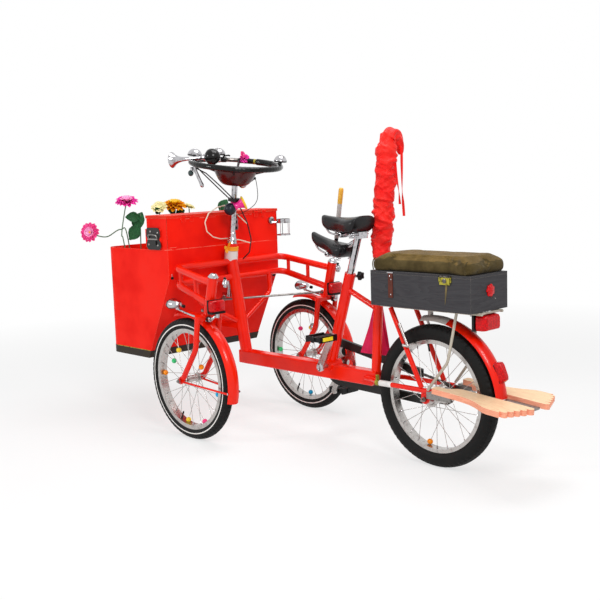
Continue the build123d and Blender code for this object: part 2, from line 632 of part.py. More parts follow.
with BuildPart() as chain_case:
    add(chain_loop(18, case_half))
    add(chain_loop(-14, case_half + 1), mode=Mode.SUBTRACT)
    add(chain_loop(12, case_half - sheet), mode=Mode.SUBTRACT)
    add(block(at(wheelbase - 103, 100, -90), at(wheelbase + 217, 500, 0)), mode=Mode.SUBTRACT)
    add(block(at(420, beam_bottom, chain_x + case_half), at(440, beam_bottom + 14, -beam_w / 2)))

crank_plane = Plane(origin=bracket, x_dir=(0, 1, 0), z_dir=(1, 0, 0))
reach_y, reach_z = crank_len * sin(radians(crank_angle)), crank_len * cos(radians(crank_angle))
with BuildPart() as crankset:
    add(bar(at(bracket_y, bracket_z, -crank_x), at(bracket_y, bracket_z, crank_x), spindle_r))
    for side in (1, -1):
        with BuildSketch(crank_plane.offset(side * (crank_x - crank_half))):
            with Locations((0, 0)):
                Circle(16)
            with Locations((side * reach_y, side * reach_z)):
                Circle(11)
            make_hull()
        extrude(amount=side * 2 * crank_half)
        pin = at(bracket_y + side * reach_y, bracket_z + side * reach_z, side * crank_x)
        add(bar(pin, (side * (pedal_out + 2),) + pin[1:], axle_r))
    with BuildSketch(side_plane):
        with Locations((bracket[1], bracket[2])):
            Circle(chainring_r)
            with PolarLocations(chainring_r * 0.6, 5):
                Circle(16, mode=Mode.SUBTRACT)
    extrude(amount=1.5, both=True)
    add(bar((-crank_x,) + bracket[1:], (chain_x + 1.5,) + bracket[1:], 14))

pedals = {}
for side, label in ((1, "left_pedal"), (-1, "right_pedal")):
    with BuildPart() as pedal:
        pin = at(bracket_y + side * reach_y, bracket_z + side * reach_z, 0)
        low, high = sorted((side * (crank_x + crank_half + 5), side * pedal_out))
        add(bar((low,) + pin[1:], (high,) + pin[1:], 9))
        for fore in (-38, 30):
            add(block((low, pin[1] + fore, pin[2] - 12), (high, pin[1] + fore + 8, pin[2] + 12)))
        for across in (low, high - 6):
            add(block((across, pin[1] - 36, pin[2] - 9), (across + 6, pin[1] + 36, pin[2] + 9)))
        add(bar((low - 1,) + pin[1:], (high + 1,) + pin[1:], axle_r + run_gap), mode=Mode.SUBTRACT)
    pedals[label] = pedal

# ---------------------------------------------------------------- wheels
with BuildPart() as rear_tyre:
    add(tyre(rear_hub, rear_wheel_r, rear_tyre_w))
with BuildPart() as rear_rim:
    add(spoked_rim(rear_hub, rear_hub_half, 34, 26, axle_r + run_gap))
    with BuildSketch(side_plane):
        with Locations((rear_hub[1], rear_hub[2])):
            Circle(sprocket_r)
    extrude(amount=1.5, both=True)
    add(bar((chain_x - 1.5,) + rear_hub[1:], (-rear_hub_half + 6,) + rear_hub[1:], 18))
    add(bar((-80,) + rear_hub[1:], (80,) + rear_hub[1:], axle_r + run_gap), mode=Mode.SUBTRACT)
with BuildPart() as left_tyre:
    add(tyre(front_hub, front_wheel_r, front_tyre_w))
with BuildPart() as left_rim:
    add(spoked_rim(front_hub, front_hub_half, 20, 13, axle_r + run_gap))
with BuildPart() as right_tyre:
    add(mirrored(left_tyre.part))
with BuildPart() as right_rim:
    add(mirrored(left_rim.part))

# ---------------------------------------------------------------- forks
king_plane = tilted(king_axis(king_bottom), king_slope)
half_track = track / 2
with BuildPart() as left_fork:
    with BuildSketch(king_plane.offset(-seat_gap)):
        SlotOverall(2 * fork_half + 2 * fork_leg_r, 2 * fork_leg_r + 4)
    extrude(amount=-crown_h)
    with BuildSketch(king_plane.offset(-seat_gap)):
        with Locations((0, -link_arm / 2)):
            Rectangle(16, link_arm)
        with Locations((0, -link_arm)):
            Circle(8)
    extrude(amount=-6)
    with BuildSketch(king_plane.offset(-seat_gap)):
        with Locations((0, -link_arm)):
            Circle(link_pin_r)
    extrude(amount=16)
    king_length = (king_top - king_bottom) * hypot(1, king_slope)
    with BuildSketch(king_plane.offset(-crown_h / 2)):
        Circle(king_pin_r)
    extrude(amount=king_length + crown_h / 2 + 2)
    with BuildSketch(king_plane.offset(king_length + seat_gap)):
        Circle(king_tube_r)
    extrude(amount=8, taper=25)
    for side in (1, -1):
        leg = half_track + side * fork_half
        top = at(king_y - king_slope * crown_h / 2, king_bottom - crown_h / 2 - 1, leg)
        add(bent_bar([top, at(106, 385, leg), at(18, front_wheel_r + 14, leg)], fork_leg_r, 90))
        with BuildSketch(Plane(origin=(leg - dropout_half, 0, 0), x_dir=(0, 1, 0), z_dir=(1, 0, 0))):
            with Locations(front_hub[1:]):
                Circle(14)
            with Locations(at(20, front_wheel_r + 17)[1:]):
                Circle(10)
            make_hull()
        extrude(amount=2 * dropout_half)
        add(bar((leg + side * dropout_half,) + front_hub[1:], (leg + side * (dropout_half + nut_w),) + front_hub[1:], nut_r))
        add(bar((half_track,) + front_hub[1:], (leg + side * (dropout_half + nut_w + 3),) + front_hub[1:], axle_r))

with BuildPart() as left_fender:
    add(fender(front_hub, front_wheel_r + 12, front_fender_w, -14, 104))
    add(left_fork.part, mode=Mode.SUBTRACT)

with BuildPart() as left_fender_stays:
    for side in (1, -1):
        tip = at((front_wheel_r + 12) * cos(radians(-10)), front_wheel_r + (front_wheel_r + 12) * sin(radians(-10)),
                 half_track + side * (front_fender_w / 2 + 2.2))
        add(bar(at(4, front_wheel_r - 6, half_track + side * (fork_half - 7)), tip, 2.5))
    add(left_fork.part, mode=Mode.SUBTRACT)

lamp_y, lamp_z = -74.0, 542.0
with BuildPart() as left_lamps:
    add(left_fender_stays.part)
    crown_end = at(king_y - 8, king_bottom - 10, half_track + 34)
    add(bar(crown_end, at(lamp_y + 20, lamp_z - 14, half_track + 26), 4))
    with BuildSketch(Plane(origin=at(lamp_y + 26, lamp_z, half_track + 26), x_dir=(1, 0, 0), z_dir=(0, -1, 0))):
        Circle(20)
    with BuildSketch(Plane(origin=at(lamp_y - 22, lamp_z, half_track + 26), x_dir=(1, 0, 0), z_dir=(0, -1, 0))):
        Circle(27)
    loft()
    add(block(at(king_y + 40, 512, half_track - 30), at(king_y + 66, 568, half_track + 30)))
    add(bar(at(king_y + 6, king_bottom - 17, half_track + 18), at(king_y + 46, king_bottom - 10, half_track + 18), 4))
    add(bar(at(king_y + 46, king_bottom - 10, half_track + 18), at(king_y + 52, king_bottom + 4, half_track + 18), 4))
    add(left_fork.part, mode=Mode.SUBTRACT)

right_forms = {}
for label, source in (("right_fork", left_fork), ("right_fender", left_fender),
                      ("right_lamps", left_lamps)):
    with BuildPart() as twin:
        add(mirrored(source.part))
    right_forms[label] = twin

# ---------------------------------------------------------------- steering column and links
link_plane = tilted(column_axis(link_column_z), column_slope)
with BuildPart() as steering_stem:
    add(bar(column_axis(link_column_z), column_axis(steering_z - 30), column_r))
    with BuildSketch(tilted(column_axis(head_top), column_slope).offset(seat_gap)):
        Circle(head_r - 2)
    extrude(amount=14, taper=20)
    with BuildSketch(link_plane):
        Circle(17)
        with Locations((0, -link_arm / 2)):
            Rectangle(16, link_arm)
        with Locations((0, -link_arm)):
            Circle(8)
    extrude(amount=8)
    with BuildSketch(link_plane):
        with Locations((0, -link_arm)):
            Circle(link_pin_r)
    extrude(amount=-30)

with BuildPart() as steering_wheel:
    ring_plane = tilted(column_axis(steering_z), column_slope)
    for number in range(4):
        turn = radians(45 + 90 * number)
        rim_point = ring_plane.from_local_coords(Vector(steering_ring_r * cos(turn), steering_ring_r * sin(turn), 0))
        hub_point = ring_plane.from_local_coords(Vector(60 * cos(turn), 60 * sin(turn), -dish_drop - 12))
        add(bar(hub_point, rim_point, spoke_bar_r))
    with BuildSketch(Plane(origin=ring_plane.origin, x_dir=ring_plane.x_dir, z_dir=-ring_plane.y_dir)):
        with Locations((steering_ring_r, 0)):
            RegularPolygon(steering_grip_r, 12)
    revolve(axis=Axis(ring_plane.origin, ring_plane.z_dir))
    add(turned([(-dish_drop - dish_h, 0), (-dish_drop - dish_h, dish_low_r), (-dish_drop, dish_top_r), (-dish_drop, 0)],
               ring_plane.origin, ring_plane.z_dir))
    add(steering_stem.part, mode=Mode.SUBTRACT)

links = {}
for side, label, lift in ((1, "left_tie_rod", -17.0), (-1, "right_tie_rod", -27.0)):
    with BuildPart() as link:
        king_eye_plane = tilted(king_axis(king_bottom, side), king_slope).offset(2.5)
        column_eye_plane = link_plane.offset(lift)
        near = column_eye_plane.from_local_coords(Vector(0, -link_arm, 4))
        far = king_eye_plane.from_local_coords(Vector(0, -link_arm, 4))
        add(bar(near, far, link_rod_r))
        for plane, hole in ((column_eye_plane, link_pin_r + run_gap), (king_eye_plane, link_pin_r + link_play)):
            with BuildSketch(plane):
                with Locations((0, -link_arm)):
                    Circle(link_eye_r + 1.5)
            extrude(amount=8)
            with BuildSketch(plane.offset(-6)):
                with Locations((0, -link_arm)):
                    Circle(hole)
            extrude(amount=20, mode=Mode.SUBTRACT)
    links[label] = link

# ---------------------------------------------------------------- fittings on the steering wheel
def ring_point(turn, radius, up):
    """A point around the steering ring, above its plane."""
    return ring_plane.from_local_coords(Vector(radius * cos(radians(turn)), radius * sin(radians(turn)), up))


with BuildPart() as ring_fittings:
    for turn, radius in bells:
        dome = [(-2, 0), (-2, 7), (7, 7), (7, radius), (14, radius * 0.96), (22, radius * 0.78), (28, radius * 0.5),
                (32, radius * 0.2), (32, 0)]
        add(turned(dome, ring_point(turn, steering_ring_r, steering_grip_r), ring_plane.z_dir))
    add(bent_bar(placed(lever_points), 5, 10))
    knob = at(-39, 1013, -9)
    add(bar(column_axis(1013), knob, 6))
    with Locations(knob):
        Sphere(17)
    add(steering_wheel.part, mode=Mode.SUBTRACT)
    add(steering_stem.part, mode=Mode.SUBTRACT)

with BuildPart() as horn:
    tail, mouth = (Vector(*point) for point in placed((horn_bulb, horn_mouth)))
    run = (mouth - tail).length
    shape = [(-35, 0), (-32, 10), (-20, 20), (0, 23), (20, 18), (33, 9), (run - 40, 9), (run - 18, 14), (run - 4, 27),
             (run, 30), (run, 26), (run - 8, 17), (run - 18, 0)]
    add(turned(shape, tail, (mouth - tail).normalized()))
    clamp = ring_point(horn_clamp, steering_ring_r, 0)
    add(bar(clamp, clamp + Vector(0, 0, steering_grip_r + 5), 7))
    add(steering_wheel.part, mode=Mode.SUBTRACT)

with BuildPart() as toy_horn:
    tail, mouth = (Vector(*point) for point in placed((toy_bulb, toy_mouth)))
    run = (mouth - tail).length
    shape = [(-26, 0), (-22, 14), (-12, 23), (0, 26), (14, 22), (22, 12), (26, 8), (run - 18, 8), (run - 6, 15),
             (run - 1, 27), (run + 2, 27), (run + 2, 0)]
    add(turned(shape, tail, (mouth - tail).normalized()))
    add(bar(column_axis(920), tail + (mouth - tail) * 0.56, 5))
    add(steering_stem.part, mode=Mode.SUBTRACT)

with BuildPart() as steering_cables:
    add(bent_bar(placed(lever_cable), cable_r, 16))
    add(bent_bar(placed(bell_cable), cable_r, 20))
    add(bar(column_axis(collar_top - collar_h), column_axis(collar_top), collar_r, column_r + run_gap))
    add(steering_stem.part, mode=Mode.SUBTRACT)
    add(ring_fittings.part, mode=Mode.SUBTRACT)

# ---------------------------------------------------------------- cables, cup, brake and flowers on the frame
with BuildPart() as brake_cable:
    add(bent_bar(placed(brake_cable_points), cable_r, 16))
    add(left_cross.part, mode=Mode.SUBTRACT)
    add(right_cross.part, mode=Mode.SUBTRACT)

with BuildPart() as gear_cable:
    add(bent_bar(placed(gear_cable_points), cable_r, 14))
    add(brake_cable.part, mode=Mode.SUBTRACT)

with BuildPart() as brake_arms:
    for side in (1, -1):
        outboard = side * (stay_half + stay_tube_r + 3)
        add(bar(at(*brake_high, outboard), at(*brake_low, outboard), 5))
        seat_point = at(brake_low[0] - 22, brake_low[1] + 1, outboard)
        add(bar(at(*brake_low, outboard), seat_point, 5))
        add(bar(seat_point, (side * 23,) + seat_point[1:], 5.5))
    add(rear_stays.part, mode=Mode.SUBTRACT)

with BuildPart() as cup_holder:
    middle = at(cup_centre[1], 0, cup_centre[0])
    add(bar(middle[:2] + (cup_low,), middle[:2] + (cup_low + 5,), cup_r, cup_r - 3 * cup_wall))
    add(bar(middle[:2] + (cup_high - cup_band,), middle[:2] + (cup_high,), cup_r, cup_r - cup_wall))
    for number in range(5):
        turn = radians(20 + 72 * number)
        foot = (middle[0] + (cup_r - 1.5) * cos(turn), middle[1] + (cup_r - 1.5) * sin(turn))
        add(bar(foot + (cup_low + 2,), foot + (cup_high - 2,), 1.5))
    add(bar((middle[0] - cup_r + 3, middle[1], cup_low + 2), (middle[0] + cup_r - 3, middle[1], cup_low + 2), 1.5))
    fitting = at(tub_rear, cup_high - 4, cup_centre[0] + cup_r + 13)
    add(bar(fitting, (fitting[0], fitting[1] + 12, fitting[2]), 15))
    add(bar((fitting[0], fitting[1] + 7, fitting[2] - 10), (middle[0] + cup_r - 6, middle[1] - cup_r + 12, fitting[2] - 10),
            cup_arm_r))
    add(bar(middle[:2] + (cup_low + cup_wall,), middle[:2] + (cup_high + 1,), cup_r - cup_wall), mode=Mode.SUBTRACT)

with BuildPart() as flowers:
    for stem in flower_stems:
        if len(stem) == 2:
            add(bar(*placed(stem), stem_r))
        else:
            add(bent_bar(placed(stem), stem_r, 18))
    for (left, back, up), facing, radius in flower_heads:
        head = at(back, up, left)
        add(turned([(-9, 0), (-9, radius * 0.25), (-3, radius), (2, radius * 0.9), (7, 0)], head,
                   Vector(*facing).normalized()))

finished = {
    "main_beam": main_beam, "down_tube": down_tube, "seat_tube": seat_tube, "rear_post": rear_post,
    "rear_stays": rear_stays, "rear_axle": rear_axle, "left_cross_frame": left_cross,
    "right_cross_frame": right_cross, "seat_post": seat_post, "upper_saddle": upper_saddle,
    "lower_saddle": lower_saddle, "cane": cane, "cargo_tub": cargo_tub, "tub_base": tub_base,
    "tub_brackets": tub_brackets, "chest": chest, "chest_lid": chest_lid, "chest_fittings": chest_fittings,
    "rear_box": rear_box, "seat_board": seat_board_lid, "cushion": cushion, "box_fittings": box_fittings,
    "rear_rack": rear_rack, "rear_fender": rear_fender, "fender_front": fender_front,
    "rear_lamps": rear_lamps, "foot_boards": foot_boards, "board_straps": board_straps,
    "parasol": parasol, "chain": chain, "chain_case": chain_case, "crankset": crankset,
    "rear_tyre": rear_tyre, "rear_rim": rear_rim, "left_tyre": left_tyre, "left_rim": left_rim,
    "right_tyre": right_tyre, "right_rim": right_rim, "left_fork": left_fork, "left_fender": left_fender,
    "left_lamps": left_lamps, "steering_stem": steering_stem, "steering_wheel": steering_wheel,
    "ring_fittings": ring_fittings, "horn": horn, "toy_horn": toy_horn, "steering_cables": steering_cables,
    "brake_cable": brake_cable, "gear_cable": gear_cable, "brake_arms": brake_arms,
    "cup_holder": cup_holder, "flowers": flowers, **pedals, **right_forms, **links,
}
os.makedirs("parts", exist_ok=True)
for label, piece in finished.items():
    piece.part.label = label
    export_step(piece.part, f"parts/{label}.step")
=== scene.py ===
"""Looks of a red front-load cargo tricycle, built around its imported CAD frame. Sizes are millimetres."""
import json
import logging
import random
from dataclasses import dataclass
from enum import Enum
from functools import cached_property
from math import atan2, copysign, cos, hypot, pi, radians, sin
from typing import Callable, Sequence

import bmesh
import bpy
from mathutils import Matrix, Vector


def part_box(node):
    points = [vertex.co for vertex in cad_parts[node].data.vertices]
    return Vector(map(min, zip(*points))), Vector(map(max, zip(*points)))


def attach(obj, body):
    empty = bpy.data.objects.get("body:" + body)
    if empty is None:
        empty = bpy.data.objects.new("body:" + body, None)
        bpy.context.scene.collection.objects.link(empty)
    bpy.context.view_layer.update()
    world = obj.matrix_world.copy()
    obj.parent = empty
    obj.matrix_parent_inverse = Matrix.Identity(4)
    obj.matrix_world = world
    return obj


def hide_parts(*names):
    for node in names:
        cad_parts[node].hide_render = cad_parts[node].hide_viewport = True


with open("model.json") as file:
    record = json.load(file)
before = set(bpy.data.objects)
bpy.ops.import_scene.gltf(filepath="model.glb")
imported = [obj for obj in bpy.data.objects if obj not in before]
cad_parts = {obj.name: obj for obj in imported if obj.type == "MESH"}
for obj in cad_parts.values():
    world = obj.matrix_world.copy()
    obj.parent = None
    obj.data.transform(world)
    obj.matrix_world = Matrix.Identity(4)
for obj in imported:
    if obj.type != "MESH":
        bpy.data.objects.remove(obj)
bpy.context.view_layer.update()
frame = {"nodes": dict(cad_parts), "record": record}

LOG = logging.getLogger("tricycle")
Socket = bpy.types.NodeSocket
Pair = tuple[float, float]
Triple = tuple[float, float, float]
Tone = int | Callable[[int, int], int]
MM = 0.001
FULL = 2 * pi
X, Y, Z = Vector((1, 0, 0)), Vector((0, 1, 0)), Vector((0, 0, 1))
WHITE = (1, 1, 1, 1)
FRONT_AXLE = (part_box("left_tyre")[0][1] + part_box("left_tyre")[1][1]) / 2
TRACK = 331.0
FRONT_RADIUS = 247.0
REAR_HUB = (983.0, 257.0)


class Place(Enum):
    """Where a wheel or a fitting stands; the value is its sign along the axles."""

    LEFT = 1
    REAR = 0
    RIGHT = -1

    @property
    def word(self) -> str:
        """Name as the record writes it."""
        return self.name.lower()


def at(back: float, up: float = 0.0, left: float = 0.0) -> Vector:
    """Place a point measured from the front axle.

    Args:
        back: Distance behind the front axle.
        up: Height above the ground.
        left: Distance to the rider's left of the mid-plane.

    Returns:
        The point in metres in the frame's own axes.
    """
    return Vector((left * MM, FRONT_AXLE + back * MM, up * MM))


def linear(colour: str) -> tuple[float, ...]:
    """Turn an sRGB hex colour into linear values.

    Args:
        colour: Six hex digits.

    Returns:
        Linear red, green, blue and an alpha of one.
    """
    parts = [int(colour[place:place + 2], 16) / 255 for place in (0, 2, 4)]
    return tuple(part / 12.92 if part <= 0.04045 else ((part + 0.055) / 1.055) ** 2.4
                 for part in parts) + (1.0,)


def add_node(tree: bpy.types.NodeTree, kind: str, inputs: dict | None = None,
             **settings: str | int) -> bpy.types.Node:
    """Add a shader node with its settings, values and links.

    Args:
        tree: The node tree to add to.
        kind: The node's type name after its common prefix.
        inputs: Value or output socket for each input, by name or number.
        **settings: Attributes of the node.

    Returns:
        The new node.
    """
    made = tree.nodes.new("ShaderNode" + kind)
    for name, value in settings.items():
        setattr(made, name, value)
    for name, value in (inputs or {}).items():
        if isinstance(value, Socket):
            tree.links.new(value, made.inputs[name])
        else:
            made.inputs[name].default_value = value
    return made


class Pattern:
    """The nodes of one surface while they are laid, with short ways to add the usual ones."""

    def __init__(self, tree: bpy.types.NodeTree) -> None:
        """Start from an empty tree."""
        tree.nodes.clear()
        self.tree = tree

    @cached_property
    def place(self) -> Socket:
        """The object's own coordinates."""
        return self.out("TexCoord", {}, "Object")

    def out(self, kind: str, inputs: dict, output: int | str = 0, **settings: str | int) -> Socket:
        """Add a node and give one of its outputs.

        Args:
            kind: The node's type name after its common prefix.
            inputs: Value or output socket for each input.
            output: Name or number of the wanted output.
            **settings: Attributes of the node.

        Returns:
            The output.
        """
        return add_node(self.tree, kind, inputs, **settings).outputs[output]

    def noise(self, scale: float, detail: float, roughness: float = 0.5, warp: float = 0.0,
              place: Socket | None = None) -> Socket:
        """Add cloudy noise.

        Args:
            scale: Clouds to a metre.
            detail: Number of finer layers.
            roughness: Strength of the finer layers.
            warp: Distortion of the clouds.
            place: Coordinates in place of the object's own.

        Returns:
            The noise.
        """
        return self.out("TexNoise", {"Vector": place or self.place, "Scale": scale, "Detail": detail,
                                     "Roughness": roughness, "Distortion": warp})

    def sums(self, operation: str, *values: Socket | float) -> Socket:
        """Work out a sum of sockets and numbers."""
        return self.out("Math", dict(enumerate(values)), operation=operation)

    def ramp(self, value: Socket, *ends: float) -> Socket:
        """Map a value between new ends.

        Args:
            value: The value to map.
            *ends: The new ends, with the old ends before them where these aren't zero and one.

        Returns:
            The mapped value.
        """
        names = ("From Min", "From Max", "To Min", "To Max")[-len(ends):]
        return self.out("MapRange", {"Value": value, **dict(zip(names, ends))})

    def blend(self, mask: Socket, low: float, high: float, first: Socket | str,
              second: Socket | str) -> Socket:
        """Blend two colours where a mask rises between two values.

        Args:
            mask: Values that choose between the colours.
            low: Mask value of the first colour.
            high: Mask value of the second colour.
            first: First colour, as a socket or hex digits.
            second: Second colour, as a socket or hex digits.

        Returns:
            The blended colour.
        """
        tones = {number: linear(tone) if isinstance(tone, str) else tone for number,
                 tone in ((6, first), (7, second))}
        return self.out("Mix", {0: self.ramp(mask, low, high, 0.0, 1.0), **tones}, 2, data_type="RGBA")

    def edges(self, reach: float) -> Socket:
        """Find a surface's sharp edges.

        Args:
            reach: Width of the band beside an edge.

        Returns:
            A mask that is high at edges.
        """
        soft = self.out("Bevel", {"Radius": reach * MM}, samples=4)
        flat = self.out("NewGeometry", {}, "Normal")
        same = self.out("VectorMath", {0: soft, 1: flat}, "Value", operation="DOT_PRODUCT")
        return self.sums("SUBTRACT", 1.0, same)


@dataclass(frozen=True)
class Finish:
    """What every finish shares: its name, its two colours and its shine."""

    name: str
    colour: str
    second: str
    roughness: float = 0.5
    metallic: float = 0.0
    coat: float = 0.0
    shine: float = 0.5

    def build(self) -> bpy.types.Material:
        """Make the material.

        Returns:
            The material with all its nodes.
        """
        made = bpy.data.materials.new(self.name)
        made.use_nodes = True
        on = Pattern(made.node_tree)
        shader = add_node(on.tree, "BsdfPrincipled", {
            "Base Color": linear(self.colour), "Metallic": self.metallic, "Roughness": self.roughness,
            "Coat Weight": self.coat, "Coat Roughness": 0.04, "Specular IOR Level": self.shine})
        add_node(on.tree, "OutputMaterial", {"Surface": shader.outputs[0]})
        for name, value in self.dress(on).items():
            if isinstance(value, tuple):
                height, strength, distance = value
                value = on.out("Bump", {"Height": height, "Strength": strength, "Distance": distance})
            if isinstance(value, Socket):
                on.tree.links.new(value, shader.inputs[name])
            else:
                shader.inputs[name].default_value = value
        return made

    def dress(self, on: Pattern) -> dict[str, Socket | float | tuple]:
        """Lay the finish's own pattern.

        Args:
            on: The material's nodes.

        Returns:
            Value of each shader input; the normal is a height with its strength and depth in metres.
        """
        raise NotImplementedError(self.name)


@dataclass(frozen=True)
class Enamel(Finish):
    """Stoved enamel on steel: deep colour under a wet gloss, faint orange peel, rubbed where hands reach."""

    rub: float = 0.0
    bare: str = "FF8A70"
    grime: str = "7A0C06"

    def dress(self, on: Pattern) -> dict[str, Socket | float | tuple]:
        """Cloud the colour over about 120 mm, rub its edges and add peel about 2 mm across.

        Args:
            on: The material's nodes.

        Returns:
            Value of each shader input.
        """
        cloud = on.noise(8.0, 3.0)
        colour = on.blend(cloud, 0.42, 0.68, self.colour, self.second)
        if self.rub:
            worn = on.sums("MULTIPLY", on.edges(2.5), on.noise(130.0, 5.0, 0.7))
            colour = on.blend(worn, 0.07, 0.07 + 0.16 / self.rub, colour, self.bare)
            colour = on.blend(on.noise(34.0, 8.0, 0.75), 0.66, 0.9, colour, self.grime)
        return {"Base Color": colour, "Normal": (on.noise(480.0, 1.0), 0.05, 0.0006),
                "Roughness": on.ramp(cloud, 0.3, 0.75, self.roughness * 0.8, self.roughness * 1.4)}


@dataclass(frozen=True)
class Metal(Finish):
    """Plated, brushed or polished metal: bright, with fine brush lines and cloudy patches of its second
    colour: tarnish on brass, zinc and alloy, painted darker reflections on chrome.
    """

    metallic: float = 1.0
    grain: Triple = (60.0, 900.0, 900.0)
    tarnish_and_dark_reflection: float = 0.15

    def dress(self, on: Pattern) -> dict[str, Socket | float | tuple]:
        """Lay brush lines about 1 mm apart and spots about 15 mm across of the second colour: tarnish on most
        metals, painted darker reflections on chrome.

        Args:
            on: The material's nodes.

        Returns:
            Value of each shader input.
        """
        spots = on.noise(65.0, 6.0, 0.7)
        lines = on.out("Mapping", {"Vector": on.place, "Scale": self.grain})
        return {"Base Color": on.blend(spots, 0.5, 0.5 + 0.06 / self.tarnish_and_dark_reflection, self.colour, self.second),
                "Roughness": on.ramp(spots, 0.35, 0.8, self.roughness, self.roughness * 2.4),
                "Normal": (on.noise(1.0, 2.0, place=lines), 0.06, 0.0003)}


@dataclass(frozen=True)
class Moulded(Finish):
    """Moulded plastic or rubber: a fine spark-eroded grain that softens its highlights."""

    grit: float = 0.8
    depth: float = 0.3

    def dress(self, on: Pattern) -> dict[str, Socket | float | tuple]:
        """Grain the surface at its grit size and dust it over about 40 mm."""
        dust = on.noise(25.0, 5.0)
        return {"Base Color": on.blend(dust, 0.45, 0.8, self.colour, self.second),
                "Normal": (on.noise(1 / MM / self.grit, 2.0), self.depth, 0.0004),
                "Roughness": on.ramp(dust, self.roughness * 0.8, self.roughness * 1.25)}


@dataclass(frozen=True)
class Leather(Finish):
    """Pressed hide: pebbled grain about 2 mm across with pale creases where it bends."""

    def dress(self, on: Pattern) -> dict[str, Socket | float | tuple]:
        """Press the pebbles into the surface and fade it in patches."""
        pebbles = on.out("TexVoronoi", {"Vector": on.place, "Scale": 420.0}, feature="DISTANCE_TO_EDGE")
        return {"Base Color": on.blend(on.noise(30.0, 6.0), 0.5, 0.75, self.colour, self.second),
                "Normal": (pebbles, 0.3, 0.0006)}


@dataclass(frozen=True)
class Board(Finish):
    """Sawn or planed wood under paint or oil: long grain along one axis, dents and handling marks."""

    along: Triple = (14.0, 1.2, 14.0)
    mark: str = "5C4A38"
    bare: str = "8A8078"
    wear: float = 0.3
    contrast: float = 1.0

    def dress(self, on: Pattern) -> dict[str, Socket | float | tuple]:
        """Draw growth rings about 6 mm apart along the board, fibres about 1 mm apart and worn edges.

        Args:
            on: The material's nodes.

        Returns:
            Value of each shader input.
        """
        run = on.out("Mapping", {"Vector": on.place, "Scale": self.along})
        rings = on.sums("MULTIPLY", on.noise(1.4, 4.0, warp=0.8, place=run), 9.0)
        grain = on.sums("MULTIPLY", on.sums("FRACT", rings), on.noise(24.0, 4.0, place=run))
        colour = on.blend(grain, 0.1, 0.1 + 0.6 / self.contrast, self.colour, self.second)
        marks = on.noise(48.0, 9.0, 0.8)
        colour = on.blend(marks, 0.68, 0.84, colour, self.mark)
        rubbed = on.sums("MULTIPLY", on.edges(2.0), marks)
        return {"Base Color": on.blend(rubbed, 0.05, 0.05 + 0.06 / self.wear, colour, self.bare),
                "Normal": (grain, 0.25, 0.0008)}


@dataclass(frozen=True)
class Cloth(Finish):
    """Woven cloth: threads or ribs along one axis, a soft sheen and faded patches."""

    rib: float = 3.2
    rib_axis: Triple = (1.0, 0.0, 0.0)
    ridge: float = 0.6
    sheen: float = 0.4

    def dress(self, on: Pattern) -> dict[str, Socket | float | tuple]:
        """Raise the ribs at their spacing, fuzz them and fade the colour over about 60 mm.

        Args:
            on: The material's nodes.

        Returns:
            Value of each shader input.
        """
        across = on.out("VectorMath", {0: on.place, 1: self.rib_axis}, "Value", operation="DOT_PRODUCT")
        turns = on.sums("MULTIPLY", across, FULL / (self.rib * MM))
        ribs = on.sums("SINE", on.sums("MULTIPLY_ADD", on.noise(30.0, 3.0), 5.0, turns))
        height = on.sums("MULTIPLY_ADD", ribs, 0.6, on.noise(900.0, 2.0))
        fade = on.sums("MULTIPLY_ADD", height, 0.12, on.noise(16.0, 6.0, 0.65))
        return {"Sheen Weight": self.sheen, "Sheen Roughness": 0.45, "Normal": (height, self.ridge, 0.0007),
                "Base Color": on.blend(fade, 0.38, 0.72, self.colour, self.second)}


@dataclass(frozen=True)
class Petals(Finish):
    """Dyed artificial silk: matt, with veins along each petal and lighter patches."""

    roughness: float = 0.7
    shine: float = 0.15

    def dress(self, on: Pattern) -> dict[str, Socket | float | tuple]:
        """Streak the cloth with veins about 2 mm apart."""
        veins = on.noise(210.0, 3.0, warp=1.5)
        return {"Base Color": on.blend(veins, 0.4, 0.65, self.colour, self.second),
                "Normal": (veins, 0.35, 0.0008)}


@dataclass(frozen=True)
class Lens(Finish):
    """Clear coloured acrylic over a prism back: cells about 5 mm across, their light and dark spots painted
    glints, under a wet gloss.
    """

    roughness: float = 0.15
    coat: float = 0.3
    cell: float = 5.0

    def dress(self, on: Pattern) -> dict[str, Socket | float | tuple]:
        """Paint the prism cells' glints as light and dark spots, with a raised pattern."""
        cells = on.out("TexVoronoi", {"Vector": on.place, "Scale": 1 / MM / self.cell}, distance="CHEBYCHEV")
        return {"Base Color": on.blend(cells, 0.15, 0.6, self.colour, self.second),
                "Normal": (cells, 0.2, 0.0012)}


# Each finish is the real material and how its surface was made, with what that gives the eye.
# Orange-red gloss, nearly wet, of a freshly stoved frame.
RED_ENAMEL = Enamel("steel tube, stoved red enamel", "F62002", "EA1602", 0.2, coat=0.08, shine=0.24)
# The same red brushed on sheet: flatter, with pale rubbed edges.
TUB_ENAMEL = Enamel("steel sheet, brushed red enamel", "FF1C06", "F21204", shine=0.14, rub=1.0)
WORN_TUB_ENAMEL = Enamel("box lid, worn red enamel", "F02A12", "DE3018", shine=0.2, rub=1.8)
# Pale pinkish primer that shows where the red is rubbed through.
RUBBED_ENAMEL = Enamel("box edge, rubbed through enamel", "FF9A88", "F4705C", 0.6, shine=0.2)
# Soft black of a sprayed frame part, a little dusty.
BLACK_ENAMEL = Enamel("steel, satin black enamel", "101010", "1C1A18", 0.34, shine=0.35)
# Dark sill under the tub, brown with road dirt.
SILL_ENAMEL = Enamel("steel channel, dirty dark enamel", "2E2823", "3E382C", 0.6, shine=0.2)
# Warm off-white gloss of thin rods.
CREAM_ENAMEL = Enamel("steel rod, cream enamel", "BEB6A6", "A29A8C", 0.35, coat=0.2)
# Pale, faintly warm silver of a rolled mudguard.
SILVER_ENAMEL = Enamel("steel sheet, silver enamel", "DCD2CC", "C2B6B0", 0.3, coat=0.2)
# Mirror bright; its dark cloudy spots are painted darker reflections.
CHROME = Metal("steel, chrome plated", "C0BFC2", "5A5452", 0.07, tarnish_and_dark_reflection=0.3)
